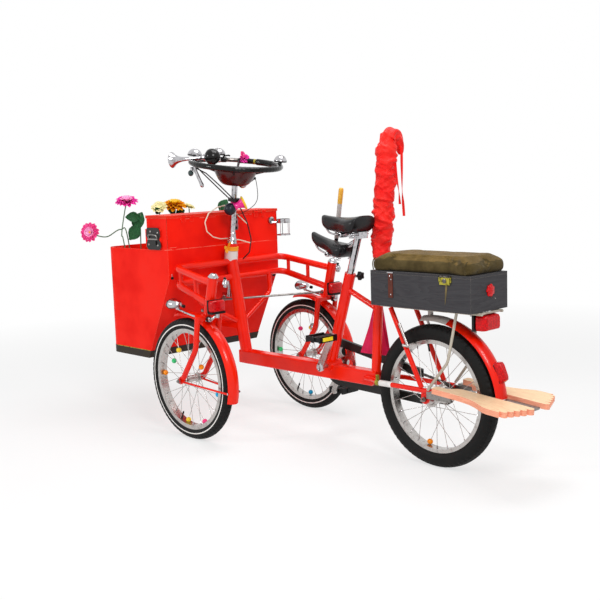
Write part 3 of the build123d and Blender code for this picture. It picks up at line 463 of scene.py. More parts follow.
# Chrome darkened to a brownish grey all over: painted darker reflections.
CHROME_PAINTED_DARK = Metal("steel, chrome plated, dirty", "6E6966", "2E2A28", 0.16, tarnish_and_dark_reflection=0.6)
# Greyer and duller than chrome, with fine brush lines.
ZINC = Metal("steel, bright zinc plated", "8E8B88", "5A5550", 0.24, tarnish_and_dark_reflection=0.35)
# Soft white metal, turned or extruded.
ALLOY = Metal("aluminium, polished extrusion", "BDB9B6", "857A75", 0.2, tarnish_and_dark_reflection=0.2)
# Yellow metal, olive where it has dulled.
BRASS = Metal("brass, pressed and worn", "A79E42", "4E471E", 0.38, tarnish_and_dark_reflection=0.5)
# Olive-brown run of old oil down the paint below the lock.
OIL_STREAK = Moulded("oil stain, dried on paint", "7A6A44", "4E4636", 0.7, grit=3.0, shine=0.2)
# Dead black rubber that greys where it meets the road.
TYRE_RUBBER = Moulded("rubber, moulded tyre", "0A0A0A", "181716", 0.6, grit=1.2, depth=0.35, shine=0.2)
# Clean matt white of the side line.
WHITE_RUBBER = Moulded("rubber, white side line", "F6F4F0", "E6E3DC", 0.55, grit=1.0, depth=0.1)
# Even black with a soft highlight.
BLACK_PLASTIC = Moulded("nylon, black moulded", "0C0C0D", "1A1A1B", 0.36, shine=0.2)
# Wet black of a wrapped grip, with a long bright streak.
GLOSS_BLACK = Moulded("vinyl, gloss black grip", "050404", "0A0808", 0.16, shine=0.28, grit=2.5, depth=0.03)
# Gloss black vinyl tinted blackish red; the red is a painted reflection. It shines at its rim.
BLACK_VINYL_RED_REFLECTION = Moulded("vinyl, dark red gloss", "4A0806", "1A0604", 0.24, shine=0.4, grit=2.5, depth=0.08)
# Blue-black of a rubber ball.
NAVY_RUBBER = Moulded("rubber, navy black bulb", "0A1420", "141E2C", 0.36, shine=0.35, grit=1.5, depth=0.1)
# Milky white of a slipped-on sleeve.
WHITE_PLASTIC = Moulded("polypropylene, white sleeve", "EAE8E6", "D2CECA", 0.4, grit=1.5, depth=0.1)
# Loud, clear toy colours under a gloss.
PINK_PLASTIC = Moulded("polystyrene, pink moulded", "F01C90", "E0106E", 0.25, coat=0.2, grit=2.0, depth=0.05)
YELLOW_PLASTIC = Moulded("polystyrene, yellow moulded", "FFD81A", "F8AC10", 0.3, coat=0.2, grit=2.0,
                         depth=0.05)
# Dull green-black and dusky pink of small nylon parts.
TEAL_PLASTIC = Moulded("nylon, dark teal knob", "1A3A38", "122422", 0.35)
TAN_PLASTIC = Moulded("nylon, dusky pink clamp", "A0606A", "7A444C", 0.4, grit=2.0)
# Smooth cable covers with a soft streak of light.
CREAM_CABLE = Moulded("cable cover, cream extruded", "F4E2CC", "E0C8A8", 0.4, grit=1.5, depth=0.05)
BLACK_CABLE = Moulded("cable cover, black extruded", "0A0A0A", "1E1A1A", 0.4, shine=0.3, grit=1.5, depth=0.05)
# Grey-white paper, matt and a little creased.
GREY_CANE = Moulded("paper tape, grey white", "C6C0BC", "948C8A", 0.6, grit=2.0)
# Deep wet red; the cells show only faintly.
RED_LENS = Lens("acrylic, red reflector", "E4060E", "B60008", 0.2, coat=0.1, shine=0.2, cell=6.0)
# Amber, yellow and clear, with the glints of their prism cells painted in as light and dark spots.
AMBER_LENS = Lens("acrylic, amber reflector", "FA820A", "FFB02A")
YELLOW_LENS = Lens("acrylic, yellow reflector", "FFE600", "FFF040")
CLEAR_LENS = Lens("acrylic, clear lamp lens", "C8CCD0", "8E9296", 0.1, coat=0.6, cell=4.0)
# Black hide polished by use, and a dry brown strap.
SADDLE_LEATHER = Leather("cowhide, black pressed saddle", "100F11", "242224", 0.3, coat=0.05, shine=0.25)
STRAP_LEATHER = Leather("cowhide, dark brown strap", "5A2414", "34160C", shine=0.3)
# Dark blue-grey paint brushed on plywood, edges rubbed to bare grey.
GREY_BOARD = Board("plywood, dark grey paint", "3C3B3E", "2E2C30", 0.62, shine=0.25, along=(1.2, 1.2, 14.0),
                   mark="5A5658", bare="7E786E", wear=0.35)
# Pale planed softwood under pink-tinted oil, and a darker, rosier copy for the sawn sides and underside:
# painted shade of the faces turned from the light.
FOOT_WOOD = Board("pine, planed and oiled", "FFDEB4", "F0B88E", shine=0.2, along=(26.0, 2.2, 26.0),
                  mark="D69A70", bare="FFC6A4", wear=0.5, contrast=0.8)
FOOT_WOOD_SHADED_SIDES = Board("pine, sawn edge, rosier, painted shade", "FFB090", "E88E6C", 0.55, shine=0.2, along=(26.0, 2.2, 60.0),
                  mark="C87858", bare="FFC4A8", wear=0.5)
# Golden cane under varnish, grain along its length.
CANE_WOOD = Board("bamboo, varnished", "F0B844", "D8962E", 0.35, shine=0.3, along=(30.0, 30.0, 2.0),
                  mark="8A5A1A", bare="F4DC96", wear=0.2)
# Cotton corduroy, olive brown, with a pale nap on its ribs; its sides are a darker copy that paints their
# shade.
CORDUROY = Cloth("cotton, olive corduroy", "52421E", "7C6438", 0.9, shine=0.1, rib=4.2, sheen=0.12, ridge=0.7)
CORDUROY_SHADED_SIDE = Cloth("cotton, corduroy side, painted shade", "40351C", "5E5030", 0.9, shine=0.1, rib=4.2,
                      rib_axis=(0.0, 0.0, 1.0), sheen=0.1, ridge=0.6)
# Thin acetate, gathered, so the folds shine: red above; below, a crimson fabric whose deeper colour is partly
# painted shade.
RED_SATIN = Cloth("acetate, red lining", "F00A0C", "FC2C22", shine=0.2, rib=1.4,
                  rib_axis=(0.0, 0.0, 1.0), sheen=0.08, ridge=0.12)
CRIMSON_SATIN_SHADED = Cloth("acetate, crimson skirt", "D60A46", "F0306A", shine=0.2, rib=1.4,
                      rib_axis=(0.0, 0.0, 1.0), sheen=0.08, ridge=0.12)
# Crisp yellow ribbon with fine cords.
YELLOW_RIBBON = Cloth("polyester, yellow ribbon", "FAC010", "F69A10", rib=1.2, sheen=0.1, ridge=0.1)
# Dyed silk: bright, flat colours with soft veins.
MAGENTA_PETALS = Petals("silk, magenta petals", "E0148C", "FF5CC8")
PINK_PETALS = Petals("silk, hot pink petals", "F01C80", "FF70B0")
PALE_PINK_PETALS = Petals("silk, pale pink petals", "FF8CCB", "FFD0EA")
ORANGE_PETALS = Petals("silk, orange petals", "F08800", "FFC21A")
CREAM_PETALS = Petals("silk, cream petals", "FAF4CC", "EEE08C")
LEAF_GREEN = Petals("silk, dark green leaves", "0E3A1E", "2A6A3A", 0.6, shine=0.2)
STEM_GREEN = Petals("wire stem, green tape", "46664A", "7A9472", 0.6, shine=0.2)
SEED_BROWN = Petals("felt, brown flower centre", "3A2A10", "6E4A16", 0.9, shine=0.1)


class Bead(Enum):
    """Toy colours of the spoke beads, each with its darker patches."""

    YELLOW = ("FFDC3A", "F4CA20")
    GREEN = ("3CD882", "2CC470")
    ORANGE = ("FF9410", "F48606")
    CYAN = ("0CAEE0", "0498CC")
    PINK = ("FA3C84", "EA2A70")

    @property
    def finish(self) -> Finish:
        """Clear plastic in the bead's colour."""
        return Moulded(f"polystyrene bead, {self.name.lower()}", *self.value, 0.3, grit=2.0, depth=0.05,
                       shine=0.3)


SLOT_FINISH = {
    "red_paint": RED_ENAMEL, "red_tub": TUB_ENAMEL, "black_paint": BLACK_ENAMEL, "grey_box": GREY_BOARD,
    "cream_paint": CREAM_ENAMEL, "chrome": CHROME, "steel": ZINC, "alloy": ALLOY, "brass": BRASS,
    "black_leather": SADDLE_LEATHER, "black_grip": GLOSS_BLACK, "black_plastic": BLACK_PLASTIC,
    "pale_wood": FOOT_WOOD, "cushion_fabric": CORDUROY, "red_fabric": RED_SATIN, "red_lens": RED_LENS,
    "tyre": TYRE_RUBBER, "pink_plastic": PINK_PLASTIC, "cream_plastic": CREAM_CABLE,
    "silk_petals": STEM_GREEN}
NODE_FINISH = {
    "fender_front": SILVER_ENAMEL, "cane": CANE_WOOD, "left_rim": ALLOY, "right_rim": ALLOY,
    "rear_rim": ALLOY,
    "chest_lid": WORN_TUB_ENAMEL, "chest_fittings": TUB_ENAMEL, "tub_base": SILL_ENAMEL,
    "steering_cables": BLACK_CABLE, "brake_cable": BLACK_CABLE}
MADE: dict[str, bpy.types.Material] = {}


def material(finish: Finish) -> bpy.types.Material:
    """Give a finish's material, made once.

    Args:
        finish: The finish.

    Returns:
        Its material.
    """
    if finish.name not in MADE:
        MADE[finish.name] = finish.build()
    return MADE[finish.name]


def dress_frame() -> None:
    """Give every node of the frame its finish."""
    slots = {row["node"]: row["material_slot"] for row in frame["record"]["subparts"]}
    for name, node in frame["nodes"].items():
        node.data.materials.clear()
        node.data.materials.append(material(NODE_FINISH.get(name) or SLOT_FINISH[slots[name]]))


def circle(centre: Vector, across: Vector, upward: Vector, radius: float, sides: int,
           lift: float = 1.0) -> list[Vector]:
    """Points around a circle or oval.

    Args:
        centre: Its centre in metres.
        across: Direction of the first point.
        upward: Direction a quarter turn on.
        radius: Radius along the first direction.
        sides: Number of points.
        lift: Share of the radius along the second direction.

    Returns:
        The points in order.
    """
    reach = radius * MM
    return [centre + across * (cos(FULL / sides * number) * reach) + upward
            * (sin(FULL / sides * number) * reach * lift)
            for number in range(sides)]


def square_off(value: float, power: float) -> float:
    """Push a sine or cosine toward its ends, which makes an oval squarish."""
    return copysign(abs(value) ** power, value)


def smooth_path(points: Sequence[Vector], steps: int = 6) -> list[Vector]:
    """Run a smooth line through points.

    Args:
        points: Points to pass.
        steps: Runs between two neighbours.

    Returns:
        Points along the line.
    """
    ends = [2 * points[0] - points[1], *points, 2 * points[-1] - points[-2]]
    line = []
    for a, b, c, d in zip(ends, ends[1:], ends[2:], ends[3:]):
        for step in range(steps):
            t = step / steps
            line.append(0.5 * (2 * b + (c - a) * t + (2 * a - 5 * b + 4 * c - d) * t * t
                               + (3 * b - a - 3 * c + d) * t ** 3))
    return line + [points[-1].copy()]


def route(*points: Triple, steps: int = 6) -> list[Vector]:
    """Run a smooth line through measured points."""
    return smooth_path([at(*point) for point in points], steps)


class Shape:
    """Faces of one piece, each with the number of its finish, made into one object at the end."""

    def __init__(self) -> None:
        """Start with no faces."""
        self.points: list[Vector] = []
        self.faces: list[tuple[int, ...]] = []
        self.tones: list[int] = []

    def skin(self, rows: Sequence[Sequence[Vector]], tone: Tone = 0, around: bool = True,
             joined: bool = False) -> "Shape":
        """Stretch faces between rows of points and fill the ends of a closed form.

        Args:
            rows: Rows of equal length.
            tone: Finish number, or a function of row and column that gives it.
            around: Whether a row closes on itself.
            joined: Whether the last row joins the first.

        Returns:
            The shape, for more calls.
        """
        pick = tone if callable(tone) else lambda row, column: tone
        start, wide, tall = len(self.points), len(rows[0]), len(rows)
        for row in rows:
            self.points.extend(row)
        for row in range(tall if joined else tall - 1):
            low, high = start + row * wide, start + (row + 1) % tall * wide
            for column in range(wide if around else wide - 1):
                after = (column + 1) % wide
                self.faces.append((low + column, low + after, high + after, high + column))
                self.tones.append(pick(row, column))
        if around and not joined:
            last = start + (tall - 1) * wide
            self.faces += [tuple(range(start + wide - 1, start - 1, -1)), tuple(range(last, last + wide))]
            self.tones += [pick(0, 0), pick(tall - 2, 0)]
        return self

    def tube(self, path: Sequence[Vector], radius: float | list[float], sides: int = 10,
             tone: Tone = 0) -> "Shape":
        """Sweep a circle along a path.

        Args:
            path: Points of the centre line.
            radius: One radius, or one for each point.
            sides: Sides of the circle.
            tone: Finish number or function.

        Returns:
            The shape, for more calls.
        """
        sizes = radius if isinstance(radius, list) else [radius] * len(path)
        rows, across = [], None
        for number, point in enumerate(path):
            along = (path[min(number + 1, len(path) - 1)] - path[max(number - 1, 0)]).normalized()
            if across is None:
                across = along.orthogonal()
            across = (across - along * across.dot(along)).normalized()
            rows.append(circle(point, across, along.cross(across), sizes[number], sides))
        return self.skin(rows, tone)

    def lathe(self, base: Vector, axis: Vector, profile: Sequence[Pair], tone: Tone = 0, sides: int = 24,
              lift: float = 1.0, across: Vector | None = None) -> "Shape":
        """Turn a profile about an axis.

        Args:
            base: Point on the axis that distances start from.
            axis: Direction of the axis.
            profile: Pairs of distance along the axis and radius.
            tone: Finish number or function.
            sides: Sides of the turned form.
            lift: Share of the radius across, for an oval form.
            across: Direction of an oval's full radius.

        Returns:
            The shape, for more calls.
        """
        along = axis.normalized()
        first = (across or along.orthogonal()).normalized()
        second = along.cross(first)
        return self.skin([circle(base + along * (far * MM), first, second, max(radius, 0.05), sides, lift)
                          for far, radius in profile], tone)

    def band(self, base: Vector, axis: Vector, half: float, radius: float, cut: float, tone: int = 0,
             sides: int = 24, step: float = 1.0) -> "Shape":
        """Add a clamp band or collar with bevelled ends.

        Args:
            base: Its middle.
            axis: Direction of its axis.
            half: Half its width.
            radius: Its full radius.
            cut: How much smaller the radius is at the ends.
            tone: Finish number.
            sides: Sides around.
            step: Width of the bevels.

        Returns:
            The shape, for more calls.
        """
        return self.lathe(base, axis, ((-half, radius - cut), (step - half, radius), (half - step, radius),
                                       (half, radius - cut)), tone, sides)

    def ball(self, centre: Vector, radius: float, tone: int = 0, axis: Vector = Z, flat: float = 1.0,
             sides: int = 16) -> "Shape":
        """Add a ball, flattened along an axis if wished.

        Args:
            centre: Its centre.
            radius: Radius across the axis.
            tone: Finish number.
            axis: Direction of flattening.
            flat: Share of the radius along the axis.
            sides: Sides around.

        Returns:
            The shape, for more calls.
        """
        turns = [pi * step / (sides // 2) for step in range(sides // 2 + 1)]
        return self.lathe(centre, axis, [(-cos(turn) * radius * flat, sin(turn) * radius)
                                         for turn in turns], tone, sides)

    def rivet(self, centre: Vector, radius: float, tone: int = 0) -> "Shape":
        """Add a flat rivet or screw head that faces sideways."""
        return self.ball(centre, radius, tone, X, 0.5, 10)

    def slab(self, outline: Sequence[Vector], thick: Vector, tone: int = 0) -> "Shape":
        """Raise a flat outline into a plate by an offset."""
        return self.skin([list(outline), [point + thick for point in outline]], tone)

    def box(self, centre: Vector, size: Triple, tone: int = 0) -> "Shape":
        """Add a block of a width, length and height about its centre."""
        x, y, z = (side * MM / 2 for side in size)
        return self.skin([[centre + Vector((a, b, level)) for a, b in ((-x, -y), (x, -y), (x, y), (-x, y))]
                          for level in (-z, z)], tone)

    def facets(self, centre: Vector, axes: tuple[Vector, Vector], half: Pair, cuts: Pair,
               rows: Sequence[Triple],
               tone: int = 0) -> "Shape":
        """Stack eight-cornered outlines into a block with cut corners that tapers.

        Args:
            centre: Middle of the outline at no distance.
            axes: Directions of the stack and of the outline's height.
            half: Half width and half height of the outline.
            cuts: Shares of the half width and half height where the cuts start.
            rows: Distance, share of the width and share of the height of each outline.
            tone: Finish number.

        Returns:
            The shape, for more calls.
        """
        (out, up), (a, b) = axes, cuts
        corners = ((-1, -b), (-a, -1), (a, -1), (1, -b), (1, b), (a, 1), (-a, 1), (-1, b))
        return self.skin([[centre + out * (far * MM) + X * (x * half[0] * wide * MM) + up
                           * (z * half[1] * tall * MM)
                           for x, z in corners] for far, wide, tall in rows], tone)

    def make(self, name: str, finishes: Sequence[Finish], body: str, slot: str,
             stands_for: Sequence[str] = (),
             bevel: float = 0.0, levels: int = 0, sharp: float = 35.0) -> bpy.types.Object:
        """Turn the gathered faces into a piece.

        Args:
            name: Name of the piece.
            finishes: Finishes in the order of their numbers.
            body: CAD body that carries the piece.
            slot: Material slot of the record; not used.
            stands_for: CAD nodes that the piece replaces.
            bevel: Width of rounded edges.
            levels: Subdivision steps.
            sharp: Angle in degrees from which an edge shows.

        Returns:
            The piece.
        """
        mesh = bpy.data.meshes.new(name)
        mesh.from_pydata(self.points, [], self.faces)
        for finish in finishes:
            mesh.materials.append(material(finish))
        grid = bmesh.new()
        grid.from_mesh(mesh)
        for face, tone in zip(grid.faces, self.tones):
            face.material_index = tone
            face.smooth = True
        bmesh.ops.recalc_face_normals(grid, faces=grid.faces)
        for edge in grid.edges:
            edge.smooth = len(edge.link_faces) == 2 and edge.calc_face_angle(0.0) < radians(sharp)
        grid.to_mesh(mesh)
        grid.free()
        piece = bpy.data.objects.new(name, mesh)
        bpy.context.scene.collection.objects.link(piece)
        if bevel:
            rounded = piece.modifiers.new("rounded edges", "BEVEL")
            rounded.width, rounded.segments, rounded.limit_method = bevel * MM, 2, "ANGLE"
            rounded.angle_limit = radians(sharp)
            rounded.harden_normals = True
        if levels:
            finer = piece.modifiers.new("smooth", "SUBSURF")
            finer.levels = finer.render_levels = levels
        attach(piece, body)
        if stands_for:
            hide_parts(*stands_for)
        LOG.info("%s: %d faces", name, len(mesh.polygons))
        return piece


@dataclass
class Wheel:
    """A spoked wheel: tyre with tread blocks, nipples, valve and beads on its spokes."""

    place: Place
    hub: Triple
    nut_seat: float
    beads: tuple[tuple[Bead, float, float], ...]
    outer: float = FRONT_RADIUS
    width: float = 44.0
    bead: float = 201.0
    flange: float = 17.0
    half: float = 31.0
    striped: bool = True
    stripe: float = 220.8
    stripe_half: float = 2.3
    valve: Pair = (173.0, -114.0)
    blocks: int = 72
    groove: float = 2.4
    rib_drop: float = 0.6
    spokes: int = 28
    lead: float = 62.0
    section: tuple[Pair, ...] = (
        (0.55, 0.0), (0.82, 0.09), (0.97, 0.28), (1.0, 0.41), (0.99, 0.46), (0.95, 0.62), (0.89, 0.73),
        (0.8, 0.82),
        (0.66, 0.895), (0.62, 0.91), (0.42, 0.96), (0.36, 0.97), (0.24, 0.985), (0.18, 0.99), (0.0, 1.0))

    def spot(self, radius: float, angle: float, left: float = 0.0) -> Vector:
        """Find a point at a radius and an angle from straight behind the hub.

        Args:
            radius: Distance from the axle in millimetres.
            angle: Degrees, upward from straight behind.
            left: Distance from the wheel's plane.

        Returns:
            The point in metres.
        """
        back, up, side = self.hub
        turn = radians(angle)
        return at(back + radius * cos(turn), up + radius * sin(turn), side + left)

    def wire(self, number: int) -> tuple[Vector, Vector]:
        """Find both ends of a spoke.

        Args:
            number: The spoke's number around the rim.

        Returns:
            Its end at the hub and its end at the rim.
        """
        side = (1 if number % 2 else -1) * (-1 if self.place is Place.RIGHT else 1)
        angle = 360 * number / self.spokes
        lead = self.lead * (1 if number % 4 < 2 else -1)
        return self.spot(self.flange, angle + lead, side * self.half), self.spot(self.bead - 11, angle,
                                                                                 side * 3)

    def tyre(self) -> None:
        """Mould the tyre, with rows of tread blocks and a side line on the front pair."""
        tall, strip = self.outer - self.bead, self.width / 2
        half = [(share * strip, self.bead + rise * tall) for share, rise in self.section]
        if self.striped:
            half = sorted(half + [(self.width * 0.497, self.stripe - self.stripe_half),
                                  (self.width * 0.495, self.stripe + self.stripe_half)],
                          key=lambda spot: spot[1])
        rows = [(-x, r) for x, r in half] + [(x, r) for x, r in half[-2::-1]]
        steps = (0.0, 0.06, 0.3, 0.36, 0.64, 0.7)
        columns = [(block + step) / self.blocks * 360 for block in range(self.blocks) for step in steps]

        def depth(x: float, r: float, column: int) -> float:
            """Find how deep the tread is cut.

            Args:
                x: Distance from the tyre's middle.
                r: Radius of the uncut surface.
                column: Number of the row of points around the tyre.

            Returns:
                The depth.
            """
            share, step = abs(x) / strip, column % len(steps)
            if r < self.bead + tall * 0.8 or share > 0.85:
                return 0.0
            if 0.35 < share < 0.63:
                return self.rib_drop
            return 0.0 if step in ((1, 2, 3, 4) if share >= 0.6 else (3, 4, 5, 0)) else self.groove

        def tone(row: int, column: int) -> int:
            """Paint the side line white."""
            middle = (rows[column][1] + rows[min(column + 1, len(rows) - 1)][1]) / 2
            return int(self.striped and abs(middle - self.stripe) < self.stripe_half)

        skin = [[self.spot(r - depth(x, r, column), angle, x) for x, r in rows] for column,
                angle in enumerate(columns)]
        name = self.place.word
        Shape().skin(skin, tone, around=False, joined=True).make(
            f"{name}_tyre_tread", (TYRE_RUBBER, WHITE_RUBBER), f"{name}_wheel", "tyre", (f"{name}_tyre",))

    def trim(self) -> None:
        """Fit the nipples, the valve and the coloured beads."""
        shape = Shape()
        wires = [self.wire(number) for number in range(self.spokes)]
        for hub, rim in wires:
            shape.lathe(rim, hub - rim, ((-1.5, 2.2), (1.5, 2.4), (9, 2.1), (11, 1.5), (12, 1.2)), 0, 8)
        foot = self.spot(self.bead - 13, self.valve[1])
        shape.lathe(foot, self.spot(0, 0) - foot,
                    ((0, 3.4), (4, 3.4), (5, 2.7), (17, 2.7), (18, 3.6), (27, 3.4), (29, 2)), 1, 12)
        for colour, radius, angle in self.beads:
            wish = self.spot(radius, angle)
            best = min((hub.lerp(rim, step / 60) for hub, rim in wires for step in range(8, 58)),
                       key=lambda spot: hypot(spot.y - wish.y, spot.z - wish.z))
            hub, rim = min(wires, key=lambda wire: (best - wire[0]).cross(wire[1] - wire[0]).length)
            shape.lathe(best, rim - hub, ((-9.5, 3), (-8, 7), (-4, 10), (0, 11), (4, 10), (8, 7), (9.5, 3)),
                        2 + list(Bead).index(colour), 14)
        shape.make(f"{self.place.word}_wheel_trim",
                   (CHROME, BLACK_PLASTIC, *(colour.finish for colour in Bead)),
                   f"{self.place.word}_wheel", "chrome")

    def axle(self) -> None:
        """Put nuts and washers on the axle's ends."""
        shape, name = Shape(), self.place.word
        for side in (-1, 1):
            seat = self.spot(0, 0, side * self.nut_seat)
            shape.lathe(seat, X * side, ((0, 11), (1.6, 11), (1.8, 7)), 0, 24)
            shape.lathe(seat, X * side, ((1.6, 8.6), (7, 8.6), (8.4, 7.2)), 0, 6)
            shape.lathe(seat, X * side, ((8, 4.6), (12, 4.6), (13, 3.4)), 0, 12)
        body = "chassis" if self.place is Place.REAR else f"{name}_steered_fork"
        shape.make(f"{name}_axle_nuts", (ZINC,), body, "steel", sharp=25)


@dataclass
class SteeringSet:
    """The steering ring, its dished middle, horns, bells, lever and the fittings under it."""

    centre: Triple = (-61.3, 1096.5, 0.0)
    lean: float = 0.1436
    ring: float = 186.0
    grip: float = 11.5
    bare: Pair = (226, 243)
    thick: Pair = (172, 200)
    bells: tuple[Pair, ...] = ((300, 30), (254, 30), (142, 27))
    dish: tuple[Pair, ...] = (
        (-86, 20), (-85, 46), (-82, 54), (-76, 62), (-64, 72), (-50, 80), (-38, 86), (-28, 89), (-25, 89),
        (-23, 86),
        (-27, 78), (-38, 60), (-42, 40), (-43, 16))

    def __post_init__(self) -> None:
        """Work out the ring's own directions."""
        self.normal = Vector((0, self.lean, 1)).normalized()
        self.back = self.normal.cross(X)
        self.middle = at(*self.centre)

    def spot(self, angle: float, radius: float, lift: float = 0.0) -> Vector:
        """Point over the ring's plane, by an angle from the rider's left."""
        flat = X * cos(radians(angle)) + self.back * sin(radians(angle))
        return self.middle + flat * (radius * MM) + self.normal * (lift * MM)

    def tangent(self, angle: float) -> Vector:
        """Direction along the ring at an angle."""
        return self.spot(angle + 1, self.ring) - self.spot(angle, self.ring)

    def wheel(self) -> None:
        """Wrap the grip round the ring, with its bare plated run, and dress the dish and the four spokes."""
        shape, sides, steps = Shape(), 16, 240

        def bulge(angle: float) -> float:
            """Find the radius of the grip.

            Args:
                angle: Degrees round the ring.

            Returns:
                Radius in millimetres.
            """
            if self.bare[0] <= angle < self.bare[1]:
                return self.grip - 2.5
            ribbed = 0.4 * (round(angle * steps / 360) % 4 < 2)
            return self.grip + (2.5 if self.thick[0] <= angle < self.thick[1] else ribbed)

        def tone(row: int, column: int) -> int:
            """Plate the bare run and the thick grip's end.

            Args:
                row: Number of the ring's row of faces.
                column: Number of the face in its row.

            Returns:
                Number of the finish.
            """
            angle = 360 * row / steps
            if self.bare[0] <= angle < self.bare[1]:
                return 1
            return 3 if self.thick[1] <= angle < self.thick[1] + 4 else 0

        angles = [360 * step / steps for step in range(steps)]
        shape.skin([circle(self.spot(angle, self.ring), (self.spot(angle, 1) - self.middle).normalized(),
                           self.normal,
                           bulge(angle), sides) for angle in angles], tone, joined=True)
        # The dish is gloss black; its dark red tint is a painted reflection.
        shape.lathe(self.middle, self.normal, self.dish, 2, 48)
        shape.lathe(self.middle, self.normal, ((-25.5, 87), (-22, 90), (-20, 89), (-21, 85)), 0, 48)
        for angle in (45, 135, 225, 315):
            path = [self.spot(angle, radius, lift)
                    for radius, lift in ((58, -40), (100, -27), (140, -15), (self.ring - 2, 0))]
            shape.tube(smooth_path(path), 5.4, 14)
        shape.make("steering_wheel_dressed", (GLOSS_BLACK, CHROME_PAINTED_DARK, BLACK_VINYL_RED_REFLECTION, BRASS), "steering",
                   "black_grip", ("steering_wheel",), sharp=40)

    def fittings(self) -> None:
        """Fit the three bells, the brake lever, the knob under the dish and the head wire."""
        shape = Shape()
        for angle, radius in self.bells:
            base = self.spot(angle, self.ring, self.grip + 5)
            shape.lathe(base, self.normal, ((-7, 7), (5, 7), (5, radius * 0.9)), 2, 24)
            shape.lathe(base, self.normal,
                        ((4.4, radius * 0.96), (5, radius), (8, radius * 1.01), (9, radius)), 2, 36)
            dome = ((9, 0.97), (10, 1), (12, 1.01), (14, 0.98), (17, 0.93), (22, 0.84), (27, 0.68),
                    (31, 0.46), (33, 0.2))
            shape.lathe(base, self.normal, [(far, radius * share) for far, share in dome]
                        + [(33.5, 4), (35, 3.6), (36, 2.4), (36.3, 0)], 0, 36)
            shape.band(self.spot(angle, self.ring), self.tangent(angle), 7, 13.5, 1)
            shape.tube(smooth_path([self.spot(angle - 6, self.ring - 4, 14),
                                    self.spot(angle - 13, self.ring - 6, 20),
                                    self.spot(angle - 16, self.ring - 6, 18)], 4), 3.4, 8, 2)
        lever = route((-136, 1112, 152), (-148, 1094, 151), (-150, 1070, 142), (-146, 1036, 128),
                      (-143, 1007, 116))
        shape.tube(lever, [6, 6.4] + [7.2] * (len(lever) - 7) + [7.6, 8.2, 9, 8, 4], 12)
        shape.lathe(at(-136, 1108, 150), Vector((0.5, -0.2, -1)),
                    ((-10, 8), (-9, 12), (6, 13), (12, 9), (14, 5)), 2, 20)
        shape.band(self.spot(308, self.ring), self.tangent(308), 12, 15, 2, 2)
        shape.ball(at(-161, 1067, 162), 13, 3, X, 0.8)
        shape.lathe(at(-158, 1082, 158), Vector((0, 0.2, -1)), ((-10, 4), (-9, 6), (10, 6), (12, 4)), 0, 12)
        knob, catch = (-39, 1017, -14), (-72, 1036, -112)
        shape.tube([at(-73, 1013), at(*knob)], 6, 12)
        shape.ball(at(*knob), 20, 0, Vector((0.2, 1, 0)), 0.85, 24)
        shape.tube(route((-39, 1021, -26), (-52, 1022, -66), catch), 3.2, 10, 2)
        shape.ball(at(*catch), 6.5, 2, X, 0.9, 12)
        shape.tube(route(catch, (-73, 1020, -121), (-75, 960, -128), (-78, 925, -112), (-80, 898, -60),
                         (-84, 884, -16),
                         steps=8), 1.4, 8, 2)
        shape.make("ring_fittings_dressed", (CHROME, GLOSS_BLACK, BLACK_PLASTIC, TEAL_PLASTIC), "steering",
                   "chrome",
                   ("ring_fittings",), sharp=30)

    def bulb_horn(self) -> None:
        """Build the bulb horn clamped to the ring: rubber bulb, plated tube and a flared, rolled mouth."""
        shape, tail, along = Shape(), at(-80, 1131, 110), at(-261, 1124, 178) - at(-80, 1131, 110)
        far = along.length / MM
        shape.lathe(tail, along, ((-35, 1), (-34, 9), (-29, 18), (-20, 27), (-8, 33), (4, 34), (14, 31),
                                  (22, 24),
                                  (28, 16), (33, 12), (36, 12)), 1, 32)
        flare = ((-70, 8.2), (-48, 10), (-30, 14), (-16, 20), (-6, 28), (-1, 33), (1, 33.5), (1, 32),
                 (-4, 27),
                 (-12, 20), (-24, 13), (-40, 8), (-60, 6), (-60, 0))
        shape.lathe(tail, along, [(30, 13), (31, 14.5), (38, 14.5), (40, 11), (44, 9), (60, 8.2),
                                  (66, 8.2), (67, 10.5),
                                  (72, 10.5), (73, 8.2)]
                    + [(far + step, radius) for step, radius in flare], 0, 40)
        clamp = self.spot(322, self.ring)
        shape.tube([clamp, clamp + Z * 0.017], 6.5, 12)
        shape.band(clamp, self.tangent(322), 7, 12.5, 1)
        shape.make("bulb_horn", (CHROME, GLOSS_BLACK), "steering", "chrome", ("horn",), sharp=40)

    def toy_horn(self) -> None:
        """Build the toy horn: navy ball, magenta barrel and yellow rim, strapped to the column."""
        shape, tail, mouth = Shape(), at(-67, 912, 37), at(-34, 937, -12)
        along = mouth - tail
        far = along.length / MM
        shape.ball(tail, 26, 0, along, 0.98, 28)
        shape.lathe(tail, along, ((20, 15), (23, 16), (26, 14), (34, 13), (far - 24, 14), (far - 14, 18),
                                  (far - 4, 23)),
                    1, 28)
        rim = ((-6, 22), (-3, 29), (1, 30), (3, 28), (1, 22), (-8, 12), (-8, 0))
        shape.lathe(tail, along, [(far + step, radius) for step, radius in rim], 2, 28)
        shape.tube([at(-86.6, 920), tail.lerp(mouth, 0.56)], 5, 10, 1)
        shape.band(at(-84.6, 934), self.normal, 9, 15, 1.5, 1)
        shape.make("toy_horn_dressed", (NAVY_RUBBER, PINK_PLASTIC, YELLOW_PLASTIC), "steering",
                   "pink_plastic",
                   ("toy_horn",), sharp=40)

    def flower(self) -> None:
        """Pin the small silk flower to the ring."""
        shape, place = Shape(), self.spot(218, self.ring, self.grip + 2)
        Blossom((0, 0, 0), (0.5, 0.6, 0.5), 23, 9, 3, 0, 1).add_to(shape, place - Z * 0.006)
        Blossom((0, 0, 0), (-0.1, 0.9, 0.3), 15, 7, 2, 2, 1).add_to(shape, place + Vector((0.012, 0, 0.014)))
        shape.make("ring_flower", (MAGENTA_PETALS, SEED_BROWN, PINK_PETALS), "steering", "silk_petals",
                   sharp=60)

